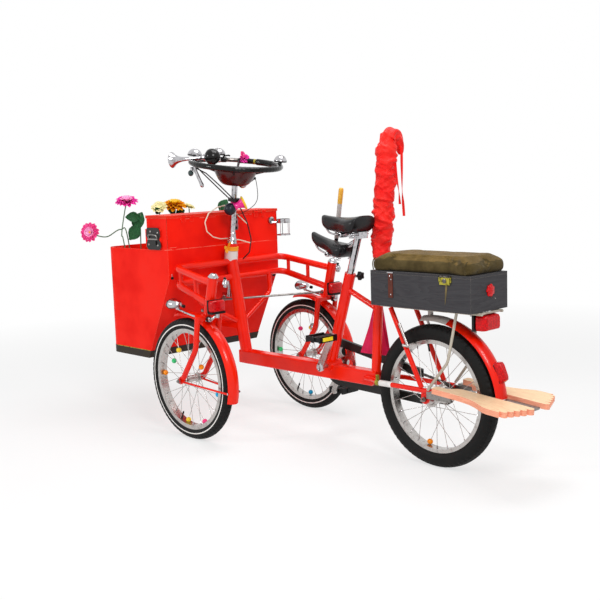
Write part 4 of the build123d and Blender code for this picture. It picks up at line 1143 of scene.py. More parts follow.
    def collar(self) -> None:
        """Slip the white sleeve and its yellow bow over the head tube, and the cone and clamp on the stem."""
        up, knot = self.normal, at(-108, 745, 22)
        sleeve = Shape().lathe(at(-116, 713), up,
                               ((-22, 27), (-20, 29), (-8, 28.2), (4, 29), (16, 28), (20, 28.6),
                                                   (22, 26)), 0, 32)
        sleeve.lathe(at(-111, 744), up, ((-9, 26.4), (-7, 29.5), (0, 28), (7, 29), (9, 25.4)), 1, 32)
        for turn in (-0.9, 0.3, 1.5, 2.5):
            way = Vector((cos(turn), 0.35, sin(turn) * 0.5)).normalized()
            side = way.cross(Vector((0, 1, 0.2))).normalized()
            sleeve.skin([[knot + way * (far * MM) + side * (wide * a * MM) + Y * ((4 - abs(a) * 3) * MM)
                          for a in (-1, -0.4, 0.4, 1)]
                         for far, wide in ((0, 2), (9, 7), (20, 9), (30, 7), (34, 5))], 1, around=False)
        sleeve.ball(knot, 6, 1, Y, 0.7, 12)
        sleeve.make("head_sleeve", (WHITE_PLASTIC, YELLOW_RIBBON), "chassis", "cream_plastic", sharp=50)
        stem, hold = Shape(), at(-97, 846, -19)
        stem.lathe(at(-100, 806), up, ((-32, 17), (-30, 19), (-24, 19), (-20, 16), (-8, 13.5), (6, 12.5),
                                       (8, 11)), 0, 28)
        stem.lathe(hold, Vector((0.1, 0.15, 1)),
                   ((-26, 5), (-24, 8), (-8, 9.5), (4, 7), (18, 8.5), (24, 6), (26, 3)),
                   1, 20)
        for level, tall in ((-14, 5), (10, 7), (30, 4)):
            stem.lathe(hold + Vector((0.006, 0, level * MM)), Vector((0, 0.15, 1)),
                       ((-tall, 10), (tall, 10)), 2, 20)
        stem.make("stem_clamps", (CHROME, TAN_PLASTIC, BLACK_PLASTIC), "steering", "chrome", bevel=0.8,
                  sharp=40)


@dataclass
class Saddle:
    """A leather saddle: one smooth closed skin over its stations, with rails and springs under it."""

    name: str
    nose: Pair
    length: float
    half_width: float
    rise: float
    depth: float
    stations: tuple[Triple, ...] = ((0, .18, .45), (.02, .28, .7), (.07, .33, .9), (.18, .36, 1),
                                    (.35, .42, .98),
                                    (.5, .56, 1.0), (.64, .82, 1.1), (.78, 1, 1.2), (.9, 1.02, 1.15),
                                    (.97, .94, .9),
                                    (1, .8, .55))

    def spot(self, share: float, drop: float, wide: float) -> Vector:
        """Point by its share of the length from the nose, of the depth and of the half width."""
        back, up = self.nose
        return at(back + self.length * share, up + self.rise * share - self.depth * drop,
                  self.half_width * wide)

    def build(self) -> None:
        """Stretch the leather over the stations and fit rails, springs and clamp under it."""
        shape, sides = Shape(), 28
        turns = [FULL * number / sides for number in range(sides)]
        shape.skin([[self.spot(share, deep * (1 - square_off(sin(turn), 0.85 if sin(turn) > 0 else 0.6)) / 2,
                               square_off(cos(turn), 0.75) * wide) + Z * ((9 * (2 * share - 1) ** 2 - 3) * MM)
                     for turn in turns] for share, wide, deep in self.stations])
        for side in (-1, 1):
            rail = [self.spot(share, drop, side * wide)
                    for share, drop, wide in ((0.08, .75, .12), (0.25, 1.12, .3), (0.6, 1.2, .34),
                                              (0.85, .8, .6))]
            shape.tube(smooth_path(rail), 3.6, 10, 1)
            foot = self.spot(0.86, 1.3, side * 0.56)
            shape.tube([foot + Vector((9 * sin(step * 0.7), 9 * cos(step * 0.7), step * 0.85)) * MM
                        for step in range(30)], 1.7, 6, 1)
        clamp = self.spot(0.5, 1.2, 0)
        shape.lathe(clamp, X, ((-30, 6), (-29, 9), (-24, 11), (-12, 12), (12, 12), (24, 11), (29, 9),
                               (30, 6)), 1, 20)
        shape.band(clamp, X, 36, 4.5, 1.5, 2, 10)
        shape.make(f"{self.name}_leather", (SADDLE_LEATHER, CHROME, BLACK_PLASTIC), "chassis",
                   "black_leather",
                   (self.name,), levels=1, sharp=50)


@dataclass
class RearBox:
    """The grey plywood seat box: lock, strap, reflector, lamps and the corduroy cushion on its lid."""

    front: float = 774.0
    rear: float = 1209.0
    half_width: float = 104.0
    seat: float = 704.0
    top: float = 758.0
    overhang: float = 7.0
    voxel: float = 6.0
    cap: float = 16.0

    def cushion(self) -> None:
        """Sew the cushion: stuff it by cloth simulation, then lay the overlap seams at its corners."""
        wide, long = self.half_width + self.overhang - 1, (self.rear - self.front) / 2 + self.overhang
        middle, tall = (self.front + self.rear) / 2, self.top - self.seat - 10
        rng = random.Random(7)
        lumps = [(rng.uniform(1, 6), rng.uniform(1, 6), rng.uniform(0, 6.3), rng.uniform(0.4, 1.2))
                 for _ in range(6)]
        sides, rows = 120, []
        for share, grow in ((0.0, 0.95), (0.1, 0.985), (0.4, 1.0), (0.75, 0.99), (0.92, 0.965), (1.0, 0.9),
                            (1.0, 0.5), (1.0, 0.1)):
            row = []
            for number in range(sides):
                turn = FULL * number / sides
                x, y = square_off(cos(turn), 0.16) * wide * grow, square_off(sin(turn), 0.16) * long * grow
                lump = sum(high * sin(a * x / 40 + b * y / 60 + shift) for a, b, shift, high in lumps)
                row.append(at(middle + y, self.seat + 2 + tall * share + lump * 0.5 * share, x))
            rows.append(row)
        piece = Shape().skin(rows).make("seat_cushion", (CORDUROY, CORDUROY_SHADED_SIDE), "seat_lid",
                                        "cushion_fabric",
                                        ("cushion",), sharp=180)
        self.stuff(piece)
        centre = at(middle).y
        low, high = (self.seat + 1.5) * MM, (self.top + 7) * MM
        edge_x, edge_y = (wide + 5) * MM, (long + 5) * MM
        for spot in piece.data.vertices:
            spot.co.z = min(max(spot.co.z, low), high)
            spot.co.x = min(max(spot.co.x, -edge_x), edge_x)
            spot.co.y = min(max(spot.co.y, centre - edge_y), centre + edge_y)
        for face in piece.data.polygons:
            face.use_smooth = True
            # Faces not turned up take the darker copy: painted shade on the cushion's sides.
            face.material_index = 0 if face.normal.z > 0.6 or face.center.z > high - 0.012 else 1
        seam = Shape()
        for back in (self.rear - 16, self.front + 22):
            seam.tube(route((back, self.seat + 4, wide + 2), (back - 1, self.seat + 22, wide + 4.2),
                            (back + 1, self.seat + 38, wide + 2.4), (back + 2, self.seat + 46, wide - 8)),
                      2.0, 8)
        seam.make("cushion_seams", (CORDUROY_SHADED_SIDE,), "seat_lid", "cushion_fabric", sharp=60)

    def stuff(self, piece: bpy.types.Object) -> None:
        """Swell a piece as stuffed cloth and keep the result in its mesh.

        Args:
            piece: The piece to stuff.
        """
        for other in bpy.context.selected_objects:
            other.select_set(False)
        piece.select_set(True)
        bpy.context.view_layer.objects.active = piece
        even = piece.modifiers.new("even faces", "REMESH")
        even.mode, even.voxel_size = "VOXEL", self.voxel * MM
        bpy.ops.object.modifier_apply(modifier=even.name)
        before = [spot.co.copy() for spot in piece.data.vertices]
        cloth = piece.modifiers.new("stuffing", "CLOTH")
        cloth.settings.use_pressure = True
        cloth.settings.uniform_pressure_force = 4.0
        cloth.settings.effector_weights.gravity = 0.0
        cloth.settings.quality = 5
        cloth.settings.mass = 0.3
        for step in range(1, 21):
            bpy.context.scene.frame_set(step)
        bpy.ops.object.modifier_apply(modifier=cloth.name)
        bpy.context.scene.frame_set(1)
        for spot, start in zip(piece.data.vertices, before):
            move = spot.co - start
            if move.length > self.cap * MM:
                spot.co = start + move.normalized() * (self.cap * MM)
        finer = piece.modifiers.new("smooth", "SUBSURF")
        finer.levels = finer.render_levels = 1
        bpy.ops.object.modifier_apply(modifier=finer.name)

    def fittings(self) -> None:
        """Fit the leather strap, the brass hasp with its streak, and the two hinges."""
        shape, side = Shape(), self.half_width
        strap, lock = self.front + 94, self.rear - 103
        shape.box(at(strap, 655, side + 1.6), (3.2, 20, 88), 1)
        shape.box(at(strap, 700, side + 2.2), (3.6, 28, 4), 0)
        for back, up in ((-2, 688), (4, 676), (2, 623)):
            shape.rivet(at(strap + back, up, side + 3.4), 2.8)
        shape.box(at(lock, 690, side + 1.5), (3, 52, 22), 2)
        shape.box(at(lock, 683, side + 3.5), (4, 42, 24), 2)
        shape.box(at(lock, 699, side + 4.2), (5.4, 48, 5), 3)
        shape.lathe(at(lock, 684, side + 4.6), X, ((0, 8), (2.4, 8), (3, 6), (3, 3), (2, 2.6)), 3, 20)
        streak = ((1, 670), (9, 670), (5, 634), (-1, 604), (-2.4, 604), (-1.4, 636))
        shape.slab([at(lock + back, up, side + 0.3) for back, up in streak], X * 0.0006, 4)
        for back in (lock - 19, lock + 19):
            shape.rivet(at(back, 690, side + 3), 2.2, 3)
        for back in (self.front + 90, self.rear - 90):
            for low in (-31.0, 12.5):
                shape.tube([at(back + low + run, 696, -side - 4) for run in (0, 18.5)], 4, 12)
                shape.box(at(back + low + 9.2, 684, -side - 1.5), (3, 18, 24), 0)
        shape.make("box_fittings_dressed", (CHROME, STRAP_LEATHER, BRASS, CHROME_PAINTED_DARK, OIL_STREAK),
                   "chassis", "brass",
                   ("box_fittings",), bevel=0.8)

    def reflector(self) -> None:
        """Mould the lobed red reflector and its screw on the rear face."""
        turns = [FULL * number / 56 for number in range(56)]
        rows = []
        for out, radius in ((0, 20), (3, 21), (6, 19), (8, 13), (9, 6), (9.4, 0.5)):
            reach = [(turn, radius * (1 + 0.09 * cos(7 * turn))) for turn in turns]
            rows.append([at(self.rear + out, 648 + far * sin(turn), -3 + far * cos(turn)) for turn,
                         far in reach])
        Shape().skin(rows).ball(at(self.rear, 618, -32), 3, 1).make(
            "box_reflector", (RED_LENS, ZINC), "chassis", "red_lens", sharp=50)

    def tail_lamps(self) -> None:
        """Build the wide faceted lamp under the rack and the wedge lamp on the mudguard."""
        shape, middle = Shape(), at(self.rear - 16, 540.5)
        shape.facets(middle, (Y, Z), (45, 26.5), (.88, .7), (
            (-12, 0.9, 0.9), (-8, 1.0, 1.0), (12, 1.0, 1.0), (26, 0.94, 0.94), (33, 0.8, 0.8)))
        shape.box(middle - Y * 0.018, (96, 10, 57), 1)
        shape.box(at(self.rear - 46, 563), (60, 26, 8), 2)
        tilt, distance = radians(22), 0.274
        out, up = Vector((0, cos(tilt), sin(tilt))), Vector((0, -sin(tilt), cos(tilt)))
        seat = at(*REAR_HUB) + out * distance + up * 0.006
        shape.facets(seat, (out, up), (17, 41), (.7, .8), ((0, 1, 1), (6, 1, 1), (12, 0.9, 0.9)), 1)
        shape.facets(seat + up * 0.004, (out, up), (15.5, 39), (.7, .8), (
            (6, 0.9, 0.95), (20, 0.88, 0.92), (34, 0.8, 0.8), (38, 0.6, 0.6)), 3)
        shape.make("rear_lamps_dressed", (RED_LENS, BLACK_PLASTIC, CHROME, RED_LENS), "chassis", "red_lens",
                   ("rear_lamps",), bevel=1.2, sharp=30)


@dataclass
class Parasol:
    """The folded parasol: a gathered red sleeve on a slanted pole, its tip bent over, and two ribbons."""

    foot: Triple = (670.0, 366.0, -31.0)
    tip: Triple = (651.0, 1170.0, -146.0)
    skirt: float = 0.4
    rings: tuple[Triple, ...] = ((0, 7, 66), (.1, 8, 44), (.235, 9, 16), (.4, 14, 16), (.44, 25, 25),
                                 (.475, 35, 35),
                                 (.5, 31, 31), (.54, 40, 40), (.72, 39, 39), (.96, 36, 36), (1, 26, 26))
    sides: int = 64
    steps: int = 300

    def folds(self) -> list[tuple[float, ...]]:
        """Draw the folds at random.

        Returns:
            Place, facing, slant, width, reach and sign of each.
        """
        rng = random.Random(11)
        return [(rng.uniform(0.4, 1.0), rng.uniform(0, FULL), rng.uniform(-0.04, 0.04),
                 rng.uniform(0.009, 0.02),
                 rng.uniform(0.8, 2.3), rng.choice((-1.0, 1.0, 1.0))) for _ in range(130)]

    def sleeve(self) -> None:
        """Gather the sleeve over the ribs; its seam stays open on the far side."""
        foot, tip = at(*self.foot), at(*self.tip)
        along = (tip - foot).normalized()
        across = (X - along * X.dot(along)).normalized()
        behind = along.cross(across)
        turns = [pi + FULL * (number % self.sides) / self.sides for number in range(self.sides + 1)]
        folds, rows = self.folds(), []
        for step in range(self.steps + 1):
            share = step / self.steps
            low, high = next((a, b) for a, b in zip(self.rings, self.rings[1:]) if a[0] <= share <= b[0])
            part = (share - low[0]) / (high[0] - low[0])
            half_x, half_y = (low[n] + (high[n] - low[n]) * part for n in (1, 2))
            gather = min(max((share - self.skirt) / 0.06, 0), 1)
            near = [fold for fold in folds if abs(fold[0] - share) < 0.08]
            row = []
            for turn in turns:
                ruck = 0.0
                for place, facing, slant, wide, reach, sign in near:
                    gap = (turn - facing + pi) % FULL - pi
                    if abs(gap) < reach:
                        off = (share - place - slant * gap) / wide
                        ruck += sign * max(0.0, 1 - off * off) ** 2 * cos(gap / reach * pi / 2) ** 2
                pleat = sin(turn * 7 + 2 * sin(share * 9)) * (1 - gather) * 0.2
                out = (1 + gather * 0.15 * max(-1.3, min(1.5, ruck)) + pleat) * MM
                row.append(foot.lerp(tip, share) + across * (cos(turn) * half_x * out)
                           + behind * (sin(turn) * half_y * out))
            rows.append(row)
        path = route(self.tip, (655, 1184, -162), (657, 1179, -186), (657, 1152, -206), (656, 1112, -215),
                     steps=9)
        for number, spot in enumerate(path[1:]):
            share = (number + 1) / (len(path) - 1)
            way = (path[min(number + 2, len(path) - 1)] - path[number]).normalized()
            side = (behind - way * behind.dot(way)).normalized()
            size = (27 * (1 - share) ** 0.6 + 7) * MM
            rows.append([spot + (side.cross(way) * cos(turn) + side * sin(turn)) * size
                         * (1 + 0.1 * sin(5 * turn + share * 9))
                         for turn in turns])
        # Rows below 41% take the crimson skirt, a fabric of its own whose darker colour also paints its
        # shade.
        piece = Shape().skin(rows, lambda row, column: int(row < self.steps * 0.41), around=False).make(
            "parasol_sleeve", (RED_SATIN, CRIMSON_SATIN_SHADED), "chassis", "red_fabric", ("parasol",), levels=1,
            sharp=180)

    def ribbons(self) -> None:
        """Hang the two ties from the tip."""
        ties = {"long": ((655, 1152, -196), (690, 1132, -178), (690, 1071, -180), (690, 977, -180),
                         (690, 930, -184),
                         (690, 879, -188)),
                "short": ((655, 1134, -180), (690, 1083, -142), (690, 1027, -148), (690, 975, -160),
                          (690, 925, -165))}
        for name, points in ties.items():
            path = route(*points, steps=8)
            rows = []
            for number, spot in enumerate(path):
                turn = 0.7 + number * 0.13
                flat, edge = Vector((cos(turn), sin(turn), 0.0)), Vector((-sin(turn), cos(turn), 0.0))
                rows.append([spot + flat * (a * MM) + edge * (b * MM)
                             for a, b in ((-5, -0.8), (0, -1.2), (5, -0.8), (5, 0.8), (0, 1.2), (-5, 0.8))])
            tie = Shape().skin(rows).make(f"parasol_tie_{name}", (RED_SATIN,), "chassis", "red_fabric",
                                          sharp=60)


@dataclass
class FootBoards:
    """Two planks behind the rear wheel, cut like a pair of feet, each with five toes."""

    heel: float = 1040.0
    height: float = 312.0
    length: float = 376.2
    fall: float = 0.08
    thick: float = 19.0
    inner: float = 34.0

    def spot(self, left: float, along: float) -> Vector:
        """Point on the boards' upper face."""
        run = along / hypot(1, self.fall)
        return at(self.heel + run, self.height - run * self.fall, left)

    def outline(self, side: int) -> list[Vector]:
        """Draw one board's outline.

        Args:
            side: One for the left board, minus one for the right.

        Returns:
            Corners from the heel round the toes.
        """
        end = self.length
        points = [(71, 6), (76, 1), (100, 1), (107, 5), (108, 40), (108, 78), (109, 110), (111, 140),
                  (116, 170),
                  (127, 198), (142, 226), (153, 246), (158, 264), (159, end - 62)]
        for inset, reach in ((105, 9), (83, 10), (61, 10), (38, 10), (13, 11)):
            middle, toe = self.inner + inset, end - 14 - (inset - 13) * 0.42 - reach + 6
            points.append((middle + reach + 1, toe - 12))
            points += [(middle + (reach + 1.2) * cos(radians(turn)), toe + (reach + 2) * sin(radians(turn)))
                       for turn in range(0, 181, 20)]
        points += [(33, end - 50), (34, 200), (34, 90), (36, 76), (44, 64), (64, 50), (71, 42)]
        return [self.spot(side * x, y) for x, y in points]

    def build(self) -> None:
        """Saw both boards and round their edges."""
        down = (self.spot(0, 0) - at(self.heel + self.fall, self.height + 1)).normalized() * (self.thick * MM)
        shape = Shape()
        for side in (1, -1):
            outline = self.outline(side)
            start = len(shape.faces)
            # The sides and underside take the darker copy, which is painted shade; the upper face keeps the
            # planed pine.
            shape.slab(outline, down, 1)
            shape.tones[start + len(outline)] = 0
        shape.make("foot_boards_sawn", (FOOT_WOOD, FOOT_WOOD_SHADED_SIDES), "chassis", "pale_wood", ("foot_boards",),
                   bevel=2.0,
                   sharp=28)


@dataclass
class Blossom:
    """A silk flower: rings of petals about a felt centre."""

    centre: Triple
    facing: Triple
    radius: float
    petals: int
    layers: int
    tone: int
    heart: int
    cup: float = 0.1
    inner: int = -1

    def add_to(self, shape: Shape, middle: Vector | None = None) -> None:
        """Add every petal and the centre to a shape, at the flower's own place or another.

        Args:
            shape: The shape that takes the faces.
            middle: Place of the flower's centre, where it isn't its own.
        """
        out = Vector(self.facing).normalized()
        across = out.orthogonal().normalized()
        upward = out.cross(across)
        middle = middle or at(*self.centre)
        rng = random.Random(round(self.radius * 7 + self.petals))
        for layer in range(self.layers):
            depth = layer / max(self.layers, 2)
            reach = self.radius * (1 - 0.62 * depth)
            tilt = self.cup + (1.15 - self.cup) * depth ** 1.2
            wide = reach * 3.4 / self.petals * MM
            tone = self.inner if layer >= self.layers * 0.6 and self.inner >= 0 else self.tone
            for number in range(self.petals):
                turn = FULL * (number + 0.5 * (layer % 2) + rng.uniform(-0.15, 0.15)) / self.petals
                lean = tilt + rng.uniform(-0.1, 0.1)
                way = across * cos(turn) + upward * sin(turn)
                side = out.cross(way)
                rows = []
                for far, breadth, lift in ((0.05, .3, 0), (.3, .7, .1), (.6, 1, .2), (.84, .86, .14),
                                           (1, .3, 0)):
                    spot = middle + (way * (far * cos(lean)) + out
                                     * (far * sin(lean) + lift * 0.35)) * (reach * MM)
                    rows.append([spot + side * (share * wide * breadth) + out * (abs(share) * wide * 0.3)
                                 for share in (-1, -.45, 0, .45, 1)])
                shape.skin(rows, tone, around=False)
        shape.ball(middle + out * (self.radius * 0.12 * MM), self.radius * 0.16, self.heart, out, 0.6, 12)


@dataclass
class FlowerTub:
    """The silk flowers that stand in the cargo tub; numbers after a petal count name finishes."""

    heads: tuple[Blossom, ...] = (
        Blossom((-500, 951, 257), (.25, .35, 1), 50, 17, 5, 0, 4, 0.02, 9),
        Blossom((-601, 825, 385), (.9, .55, .25), 44, 15, 5, 1, 8, 0.15, 9),
        Blossom((-571, 921, -52), (.15, .3, 1), 58, 16, 6, 2, 4, -0.1, 4),
        Blossom((-571, 913, 34), (.5, .5, .8), 38, 11, 3, 3, 3, 0.15),
        Blossom((-563, 908, -128), (-.1, .4, .9), 30, 10, 3, 3, 4, 0.2))
    stems: tuple[tuple[Triple, ...], ...] = (
        ((-470, 328, 250), (-495, 760, 284), (-500, 812, 292), (-500, 912, 270), (-500, 946, 258)),
        ((-500, 328, 215), (-530, 785, 240), (-545, 832, 266), (-575, 803, 318), (-597, 812, 362),
         (-601, 823, 383)),
        ((-570, 328, -57), (-571, 918, -53)), ((-570, 328, 30), (-571, 911, 34)),
        ((-562, 328, -142), (-563, 906, -130)),
        ((-478, 328, -245), (-480, 908, -250)), ((-472, 328, 225), (-471, 800, 214), (-470, 900, 208)))
    leaves: tuple[tuple[Triple, Triple, float, float], ...] = (
        ((-470, 905, 200), (.3, -.2, -.9), 88, 30), ((-470, 850, 214), (.5, -.3, -.8), 80, 28),
        ((-472, 880, 212), (.9, -.3, .1), 66, 24), ((-470, 820, 214), (.8, -.3, -.5), 62, 22),
        ((-480, 880, -250), (-.5, .1, .8), 70, 26), ((-571, 890, -57), (.8, .1, .3), 58, 20),
        ((-571, 890, 30), (.6, .2, .5), 46, 16), ((-571, 880, -57), (-.8, .1, .3), 52, 18))

    def build(self) -> None:
        """Arrange stems, leaves and heads."""
        shape = Shape()
        for points in self.stems:
            shape.tube(route(*points, steps=8), 2.5, 8, 6)
        for root, way, long, wide in self.leaves:
            along = Vector(way).normalized()
            side = along.cross(Vector((0.75, 0.6, 0.25))).normalized()
            curl = side.cross(along)
            rows = []
            for far, breadth in ((0, .06), (.12, .45), (.3, .9), (.5, 1), (.7, .82), (.88, .42), (1, .04)):
                spot = at(*root) + along * (long * far * MM) + curl * (sin(far * pi) * long * 0.12 * MM)
                rows.append([spot + side * (share * wide * breadth * MM) + curl
                             * (abs(share) * 5 * breadth * MM)
                             for share in (-1, -.5, 0, .5, 1)])
            shape.skin(rows, 7, around=False)
        for head in self.heads:
            head.add_to(shape)
        shape.make("silk_flowers", (MAGENTA_PETALS, PINK_PETALS, ORANGE_PETALS, CREAM_PETALS,
                                    YELLOW_PLASTIC, SEED_BROWN,
                                    STEM_GREEN, LEAF_GREEN, AMBER_LENS, PALE_PINK_PETALS), "chassis",
                   "silk_petals",
                   ("flowers",), sharp=60)


@dataclass
class Lamps:
    """One side's headlamp, red rear lamp, fender stays and clips on the steered fork."""

    place: Place
    stay_radius: float = 259.0

    def spot(self, back: float, up: float, outward: float) -> Vector:
        """Point measured outward from the wheel's plane."""
        return at(back, up, self.place.value * (TRACK + outward))

    def build(self) -> None:
        """Assemble both lamps on their brackets and the stays of the fender."""
        shape, front, rear = Shape(), self.spot(-54, 549, 26), self.spot(181, 556, 0)
        for profile, tone in (
                (((-34, 3), (-33, 9), (-26, 18), (-12, 26), (6, 30), (12, 31), (17, 31), (19, 30)), 0),
                (((17, 29), (21, 27), (25, 19), (27, 9), (27.5, 0)), 2),
                (((11, 31), (12, 32), (15, 32), (16, 31)), 3)):
            shape.lathe(front, -Y, profile, tone, 32, 0.66, X)
        arm = [self.spot(*point) for point in ((119, 508, 34), (60, 514, 32), (0, 524, 29), (-34, 530, 26))]
        shape.tube(smooth_path(arm), 4, 12)
        shape.lathe(self.spot(-40, 545, 26), Vector((0, 0.3, -1)), ((0, 8), (14, 8), (19, 5)), 0, 16)
        shape.lathe(self.spot(-2, 545, 26), Vector((0, 1, -0.1)), ((0, 7), (10, 7), (12, 4)), 3, 14)
        shape.facets(rear, (Y, Z), (34, 22), (.86, .7), (
            (-20, 0.9, 0.9), (-16, 1.0, 1.0), (4, 1.0, 1.0), (10, 0.94, 0.94), (13, 0.8, 0.8)), 1)
        shape.box(rear - Y * 0.014, (72, 7, 48), 3)
        shape.box(rear + Vector((0, -0.004, -0.026)), (66, 30, 8), 3)
        shape.lathe(rear - Z * 0.029, -Z, ((0, 8), (10, 9), (16, 8), (18, 5)), 0, 16)
        shape.tube([self.spot(133, 501, 18), self.spot(173, 508, 16), self.spot(180, 520, 8)], 4.4)
        clamp, way = self.spot(150, 503, 18), Vector((0, 1, 0.1))
        shape.band(clamp, way, 12, 10, 3, 0, 20)
        shape.lathe(clamp, way, ((-4, 11.5), (4, 11.5)), 3, 20)
        turn = radians(-5)
        for edge in (1, -1):
            tip = self.spot(self.stay_radius * cos(turn), FRONT_RADIUS + self.stay_radius * sin(turn),
                            edge * 30.2)
            shape.tube([self.spot(4, 241, edge * 47), tip], 4, 10, 4)
            shape.lathe(tip, X * edge * self.place.value, ((-3, 5), (1.5, 5), (2.4, 3.6)), 0, 6)
        shape.make(f"{self.place.word}_lamps_dressed",
                   (CHROME, RED_LENS, CLEAR_LENS, BLACK_PLASTIC, RED_ENAMEL),
                   f"{self.place.word}_steered_fork", "chrome", (f"{self.place.word}_lamps",), bevel=1.2,
                   sharp=38)

    def clips(self) -> None:
        """Clamp the fittings to the fork: leg clamps on the side that shows, and the steering arm's cap."""
        shape = Shape()
        clamps = {Place.LEFT: ((60, 366, 31, 14),), Place.RIGHT: ((92, 429, -31, 13), (65, 382, -31, 13))}
        for back, up, out, radius in clamps[self.place]:
            spot = self.spot(back, up, out)
            shape.band(spot, Vector((0, 0.75, 1)), 7, radius, 1, 0, 20)
            shape.box(spot + Y * 0.002, (8, 2.5 * radius, 10), 0)
        arm = self.spot(214, 644, -18)
        shape.ball(arm, 13, 0, Z, 0.9, 20)
        shape.lathe(arm, Z, ((-16, 6), (-12, 9), (12, 9), (15, 5), (19, 5), (20, 3)), 0, 16)
        shape.ball(arm + Vector((0.004, 0.004, 0.02)), 6, 2, Z, 0.8, 12)
        shape.make(f"{self.place.word}_fork_clips", (CHROME, WHITE_PLASTIC, BLACK_PLASTIC),
                   f"{self.place.word}_steered_fork", "chrome", bevel=0.6, sharp=38)


@dataclass
class Drive:
    """The roller chain, pedal reflectors and crank caps."""

    front: Pair = (474.0, 309.0)
    rear: Pair = REAR_HUB
    front_radius: float = 76.0
    rear_radius: float = 38.0
    line: float = -49.0
    pitch: float = 12.7
    plate: float = 3.9

    def loop(self) -> list[Pair]:
        """Lay out the pins of the chain.

        Returns:
            Back and up of every pin.
        """
        away = Vector(self.rear) - Vector(self.front)
        slope, gain = atan2(away.y, away.x), self.front_radius - self.rear_radius
        open_turn = atan2(abs(away.length ** 2 - gain ** 2) ** 0.5, gain)
        track = []
        for centre, radius, first, last in (
                (self.front, self.front_radius, slope + open_turn, slope + FULL - open_turn),
                (self.rear, self.rear_radius, slope - open_turn, slope + open_turn)):
            for step in range(121):
                turn = first + (last - first) * step / 120
                track.append(Vector((centre[0] + radius * cos(turn), centre[1] + radius * sin(turn))))
        track.append(track[0].copy())
        total = sum((b - a).length for a, b in zip(track, track[1:]))
        count = round(total / self.pitch)
        pins, walked, goal = [], 0.0, 0.0
        for a, b in zip(track, track[1:]):
            run = (b - a).length
            while goal <= walked + run and len(pins) < count:
                pins.append(tuple(a.lerp(b, (goal - walked) / run if run else 0)))
                goal += total / count
            walked += run
        return pins

    def chain(self) -> None:
        """Link the chain: inner and outer plates in turn, with a roller at each pin."""
        shape, pins = Shape(), self.loop()
        for number, (back, up) in enumerate(pins):
            ahead = pins[(number + 1) % len(pins)]
            turn, long = atan2(ahead[1] - up, ahead[0] - back), hypot(ahead[0] - back, ahead[1] - up)
            bends = [(0.0, radians(angle) + pi) for angle in (-60, 0, 60)] + [
                (long, radians(angle)) for angle in (-60, 0, 60)]
            outline = [(far + self.plate * cos(bend), self.plate * sin(bend)) for far, bend in bends]
            gap = 2.9 if number % 2 else 4.1
            for side in (-1, 1):
                shape.slab([at(back + x * cos(turn) - y * sin(turn), up + x * sin(turn) + y * cos(turn),
                               self.line + side * gap) for x, y in outline], X * side * 1.1 * MM)
            shape.lathe(at(back, up, self.line), X, ((-3.2, 3.8), (3.2, 3.8)), 0, 8)
        shape.make("roller_chain", (CHROME_PAINTED_DARK,), "chassis", "steel", ("chain",), sharp=30)

    def pedals(self) -> None:
        """Fit reflectors to both pedals and caps to the crank spindle."""
        for place, (back, up) in ((Place.LEFT, (540, 438)), (Place.RIGHT, (408, 180))):
            shape, side = Shape(), place.value
            for edge in (-1, 1):
                shape.box(at(back + edge * 39.5, up, side * 132), (52, 3, 14), 0 if side > 0 else 1)
                for left in (96, 168):
                    shape.ball(at(back + edge * 38, up, side * left), 2.6, 1, Y, 0.6, 10)
            shape.lathe(at(back, up, side * 172), X * side, ((0, 12), (4, 12), (6, 9), (6.5, 0)), 1, 24)
            shape.make(f"{place.word}_pedal_trim", (YELLOW_LENS, BLACK_PLASTIC), f"{place.word}_pedal_body",
                       "black_plastic", bevel=0.8)
        shape = Shape()
        for side in (-1, 1):
            shape.lathe(at(*self.front, side * 70), X * side,
                        ((0, 17), (5, 17), (7, 15), (8, 9), (7, 7), (7, 0)), 0, 28)
        shape.make("crank_caps", (CHROME,), "cranks", "alloy", sharp=30)


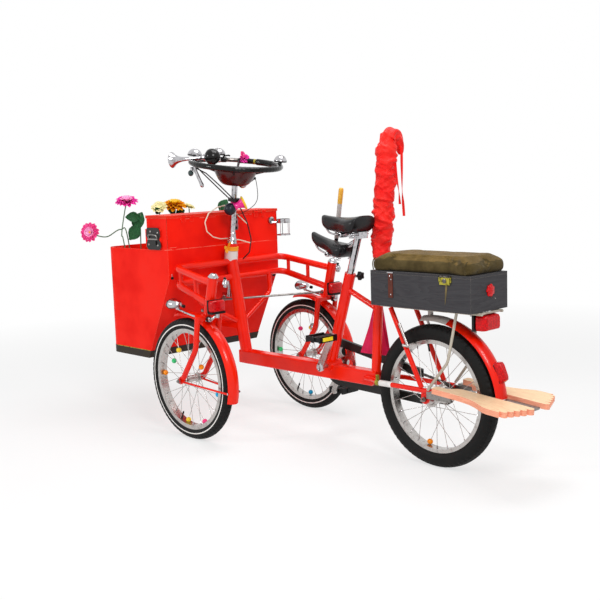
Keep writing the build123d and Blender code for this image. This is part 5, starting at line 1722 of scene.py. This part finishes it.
@dataclass
class Hardware:
    """Caps, latch, rivets, worn lines and clips on the frame and the tub, and the cane."""

    latch_side: float = 311.2
    rivet_side: float = 306.0
    sill: float = 322.5

    def king_caps(self) -> None:
        """Put a domed plated cap on each kingpin."""
        dome = ((1, 15), (3, 21), (6, 21.5), (8, 19), (14, 15), (17, 11), (18.5, 5), (19, 0))
        for place in (Place.LEFT, Place.RIGHT):
            Shape().lathe(at(164.2, 664, place.value * TRACK), Vector((0, 0.255, 1)), dome, 0, 28).make(
                f"{place.word}_kingpin_cap", (CHROME,), f"{place.word}_steered_fork", "red_paint")

    def latch(self) -> None:
        """Fit the black latch plate with four screws on the chest's side, and the rivets of the tub."""
        shape = Shape()
        corners = [(-280, 848), (-205, 848), (-193, 836), (-192, 812), (-200, 800), (-190, 786), (-188, 768),
                   (-200, 757), (-276, 757), (-288, 768), (-286, 786), (-278, 800), (-288, 812), (-287, 836)]
        shape.slab([at(back, up, self.latch_side) for back, up in corners], X * 0.0022)
        shape.box(at(-238, 801, 316), (6, 70, 6), 1)
        shape.box(at(-238, 786, 315), (5, 40, 18), 0)
        shape.tube(route((-268, 806, 316), (-262, 818, 320), (-214, 818, 320), (-208, 806, 316), steps=5),
                   2.6, 8, 1)
        for back, up in ((-257, 832), (-208, 827), (-271, 778), (-208, 776)):
            shape.ball(at(back, up, 314), 5, 1, X, 0.5, 12)
        for back, up in ((-525, 574), (-283, 564), (-207, 577), (-555, 700), (-555, 380), (-330, 400)):
            for side in (1, -1):
                shape.rivet(at(back, up, side * self.rivet_side), 3.2, 2)
        shape.rivet(at(-247, 763), 1.5, 2)
        shape.make("chest_latch", (BLACK_ENAMEL, ZINC, TUB_ENAMEL), "chassis", "black_paint", bevel=0.8)

    def worn_lines(self) -> None:
        """Lay the rubbed pale lines along the chest's seam and corners, and the brass edge on the sill."""
        shape, rng = Shape(), random.Random(5)
        half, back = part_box("cargo_tub")[1][0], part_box("chest")[1][1]
        for up, place, last in ((880, -296, 300), (758, -250, 306), (766, 262, 300)):
            while place < last:
                run = rng.uniform(14, 70)
                if rng.random() < 0.72:
                    wide = rng.uniform(0.6, 1.5)
                    shape.box(Vector(((place + run / 2) * MM, back + 0.0003, up * MM)),
                              (min(run, last - place), 0.9, wide))
                place += run + rng.uniform(2, 12)
        for left in (304.6, -304.6):
            up = 762
            while up < 876:
                run = rng.uniform(10, 34)
                shape.box(Vector((left * MM, back - 0.0008, (up + run / 2) * MM)), (1.6, 1.6, run))
                up += run + rng.uniform(3, 10)
        for side in (-1, 1):
            shape.box(Vector((side * (half + 0.0006), at(-435).y, self.sill * MM)), (1.2, 246, 2.6), 1)
        shape.make("worn_edges", (RUBBED_ENAMEL, BRASS), "chassis", "red_tub")

    def frame_trim(self) -> None:
        """Fit the seat tube's knob, the stay's sleeve and brass clamp, and the clips on the cross tubes."""
        shape, knob, sides = Shape(), at(616, 663, -16), 40
        turns = [FULL * number / sides for number in range(sides)]
        shape.tube([at(590, 660, -10), knob], 5)
        shape.skin([[knob + Y * (far * MM) + (X * cos(turn) + Z * sin(turn))
                     * (radius * (1 + 0.16 * cos(5 * turn)) * MM)
                     for turn in turns] for far,
                    radius in ((-9, 11), (-7, 15), (5, 15), (9, 10), (9.5, 0.5))], 1)
        shape.band(at(801, 287, 65), Y, 29, 10.8, 1.2, 2, 24, 2)
        shape.box(at(762, 305, 66), (10, 9, 22), 3)
        shape.band(at(762, 287, 65), Y, 7, 11.5, 1.5, 3, 20)
        for back, up, left in ((-154, 641, 290), (-164, 598, -287)):
            shape.band(at(back, up, left), Vector((1, -0.3, 0)), 6, 6, 2, 1, 14)
            shape.tube([at(back, up + 4, left), at(back, up + 16, left)], 2.4, 8)
        shape.make("frame_trim", (CHROME, BLACK_PLASTIC, WHITE_PLASTIC, BRASS), "chassis", "chrome",
                   bevel=0.6, sharp=38)

    def cane(self) -> None:
        """Wrap the cane: golden knob, pale taped middle and dark foot."""
        foot, way = at(440, 728, -62), at(485, 992, -62) - at(440, 728, -62)
        far = way.length / MM
        knob = ((-62, 8.8), (-60, 9.4), (-30, 9.6), (-8, 9.6), (-2, 8), (0, 5))
        shape = Shape().lathe(foot, way, [(0, 6.5), (4, 7.6), (70, 7.6), (71, 8.6), (130, 8.8)]
                              + [(far + step, radius) for step, radius in knob],
                              lambda row, column: 2 if row < 2 else int(row < 5), 24)
        shape.tube([at(443, 748, -62), at(430, 756, -50), at(387, 772, -10)], 4, 10, 2)
        shape.make("taped_cane", (CANE_WOOD, GREY_CANE, BLACK_PLASTIC), "chassis", "cream_plastic",
                   ("cane",), sharp=40)


@dataclass
class Studio:
    """Camera, pale floor and soft light; places and sizes are metres."""

    azimuth: float = 136.11
    elevation: float = 7.58
    roll: float = -1.89
    eye: Triple = (2.6898, 3.0957, 1.0659)
    lens: float = 58.68
    reach: float = 30.0
    lamps: tuple[tuple[str, Triple, Triple, float, float], ...] = (
        ("key", (1.6, 2.6, 2.6), (0, 0, 0.5), 0.9, 52), ("side", (3.4, -1.4, 2.0), (0, -0.3, 0.5), 0.7, 34),
        ("top", (-0.4, 0.2, 3.2), (0, 0, 0), 1.6, 48))

    def stand(self, name: str, data: bpy.types.ID) -> bpy.types.Object:
        """Put a camera, lamp or mesh into the scene.

        Args:
            name: The object's name.
            data: What it holds.

        Returns:
            The object.
        """
        holder = bpy.data.objects.new(name, data)
        bpy.context.scene.collection.objects.link(holder)
        return holder

    def camera(self) -> None:
        """Set the camera at the viewing angle."""
        turn, lift, tip = radians(self.azimuth), radians(self.elevation), radians(self.roll)
        away = Vector((sin(turn) * cos(lift), -cos(turn) * cos(lift), sin(lift)))
        right = Vector((cos(turn), sin(turn), 0))
        over = away.cross(right)
        across, upward = right * cos(tip) + over * sin(tip), over * cos(tip) - right * sin(tip)
        holder = self.stand("camera", bpy.data.cameras.new("camera"))
        holder.matrix_world = Matrix((across, upward, away)).transposed().to_4x4()
        holder.matrix_world.translation = Vector((self.eye[0], self.eye[1] + FRONT_AXLE, self.eye[2]))
        holder.data.sensor_width, holder.data.lens = 36, self.lens
        bpy.context.scene.camera = holder

    def floor(self) -> None:
        """Lay a pale floor that keeps a soft shadow."""
        mesh, far = bpy.data.meshes.new("floor"), self.reach
        mesh.from_pydata([(-far, -far, 0), (far, -far, 0), (far, far, 0), (-far, far, 0)], [], [(0, 1, 2, 3)])
        ground = self.stand("floor", mesh)
        paint = bpy.data.materials.new("vinyl floor, matt white")
        paint.use_nodes = True
        on = Pattern(paint.node_tree)
        matt = on.out("BsdfDiffuse", {"Color": on.ramp(on.noise(3.0, 6.0), 0.93, 0.96)})
        glow = on.out("Emission", {"Color": WHITE, "Strength": 1.0})
        seen = add_node(on.tree, "LightPath").outputs
        distance = on.out("VectorMath", {0: on.place}, "Value", operation="LENGTH")
        flat = on.sums("MAXIMUM", seen["Is Camera Ray"], seen["Is Glossy Ray"])
        share = on.sums("MULTIPLY", flat, on.ramp(distance, 1.6, 4.0, 0.66, 1.0))
        add_node(on.tree, "OutputMaterial", {"Surface": on.out("MixShader", {0: share, 1: matt, 2: glow})})
        mesh.materials.append(paint)

    def lights(self) -> None:
        """Hang three soft lamps in a white sky."""
        for name, spot, aim, size, power in self.lamps:
            holder = self.stand(name, bpy.data.lights.new(name, "AREA"))
            holder.data.energy, holder.data.size = power, size
            holder.location = spot
            holder.rotation_euler = (Vector(spot) - Vector(aim)).to_track_quat("Z", "Y").to_euler()
        world = bpy.data.worlds.new("studio")
        bpy.context.scene.world = world
        world.use_nodes = True
        on = Pattern(world.node_tree)
        seen = add_node(on.tree, "LightPath").outputs
        direct = on.sums("MAXIMUM", seen["Is Camera Ray"], seen["Is Glossy Ray"])
        level = on.ramp(on.sums("MAXIMUM", direct, seen["Is Transmission Ray"]), 0.36, 1.0)
        add_node(on.tree, "OutputWorld",
                 {"Surface": on.out("Background", {"Color": WHITE, "Strength": level})})
        bpy.context.scene.view_settings.view_transform = "Standard"


def main() -> None:
    """Build every sub-assembly in order."""
    logging.basicConfig(level=logging.INFO, format="%(name)s %(message)s")
    studio = Studio()
    studio.camera()
    studio.floor()
    studio.lights()
    dress_frame()
    for wheel in (
            Wheel(Place.LEFT, (0.0, FRONT_RADIUS, TRACK), 62, (
                (Bead.YELLOW, 127, 116), (Bead.GREEN, 140, 156), (Bead.ORANGE, 189, -176),
                (Bead.ORANGE, 106, 33),
                (Bead.CYAN, 177, -18), (Bead.PINK, 182, -59), (Bead.YELLOW, 191, -102))),
            Wheel(Place.RIGHT, (0.0, FRONT_RADIUS, -TRACK), 62, (
                (Bead.PINK, 115, 99), (Bead.YELLOW, 118, 83), (Bead.GREEN, 177, -176),
                (Bead.CYAN, 178, -92))),
            Wheel(Place.REAR, (*REAR_HUB, 0.0), 66, ((Bead.ORANGE, 181, -97),), outer=257.0, width=54.0,
                  flange=31.0,
                  half=37.0, striped=False, valve=(171.0, 101.0))):
        wheel.tyre()
        wheel.trim()
        wheel.axle()
    steering = SteeringSet()
    steering.wheel()
    steering.fittings()
    steering.bulb_horn()
    steering.toy_horn()
    steering.flower()
    steering.collar()
    Saddle("upper_saddle", (447, 886), 215, 66, 0, 56).build()
    Saddle("lower_saddle", (387, 820), 190, 56, -44, 46).build()
    box = RearBox()
    box.cushion()
    box.fittings()
    box.reflector()
    box.tail_lamps()
    parasol = Parasol()
    parasol.sleeve()
    parasol.ribbons()
    FootBoards().build()
    FlowerTub().build()
    for place in (Place.LEFT, Place.RIGHT):
        lamps = Lamps(place)
        lamps.build()
        lamps.clips()
    drive = Drive()
    drive.chain()
    drive.pedals()
    hardware = Hardware()
    hardware.king_caps()
    hardware.latch()
    hardware.worn_lines()
    hardware.frame_trim()
    hardware.cane()


if __name__ == "__main__":
    main()
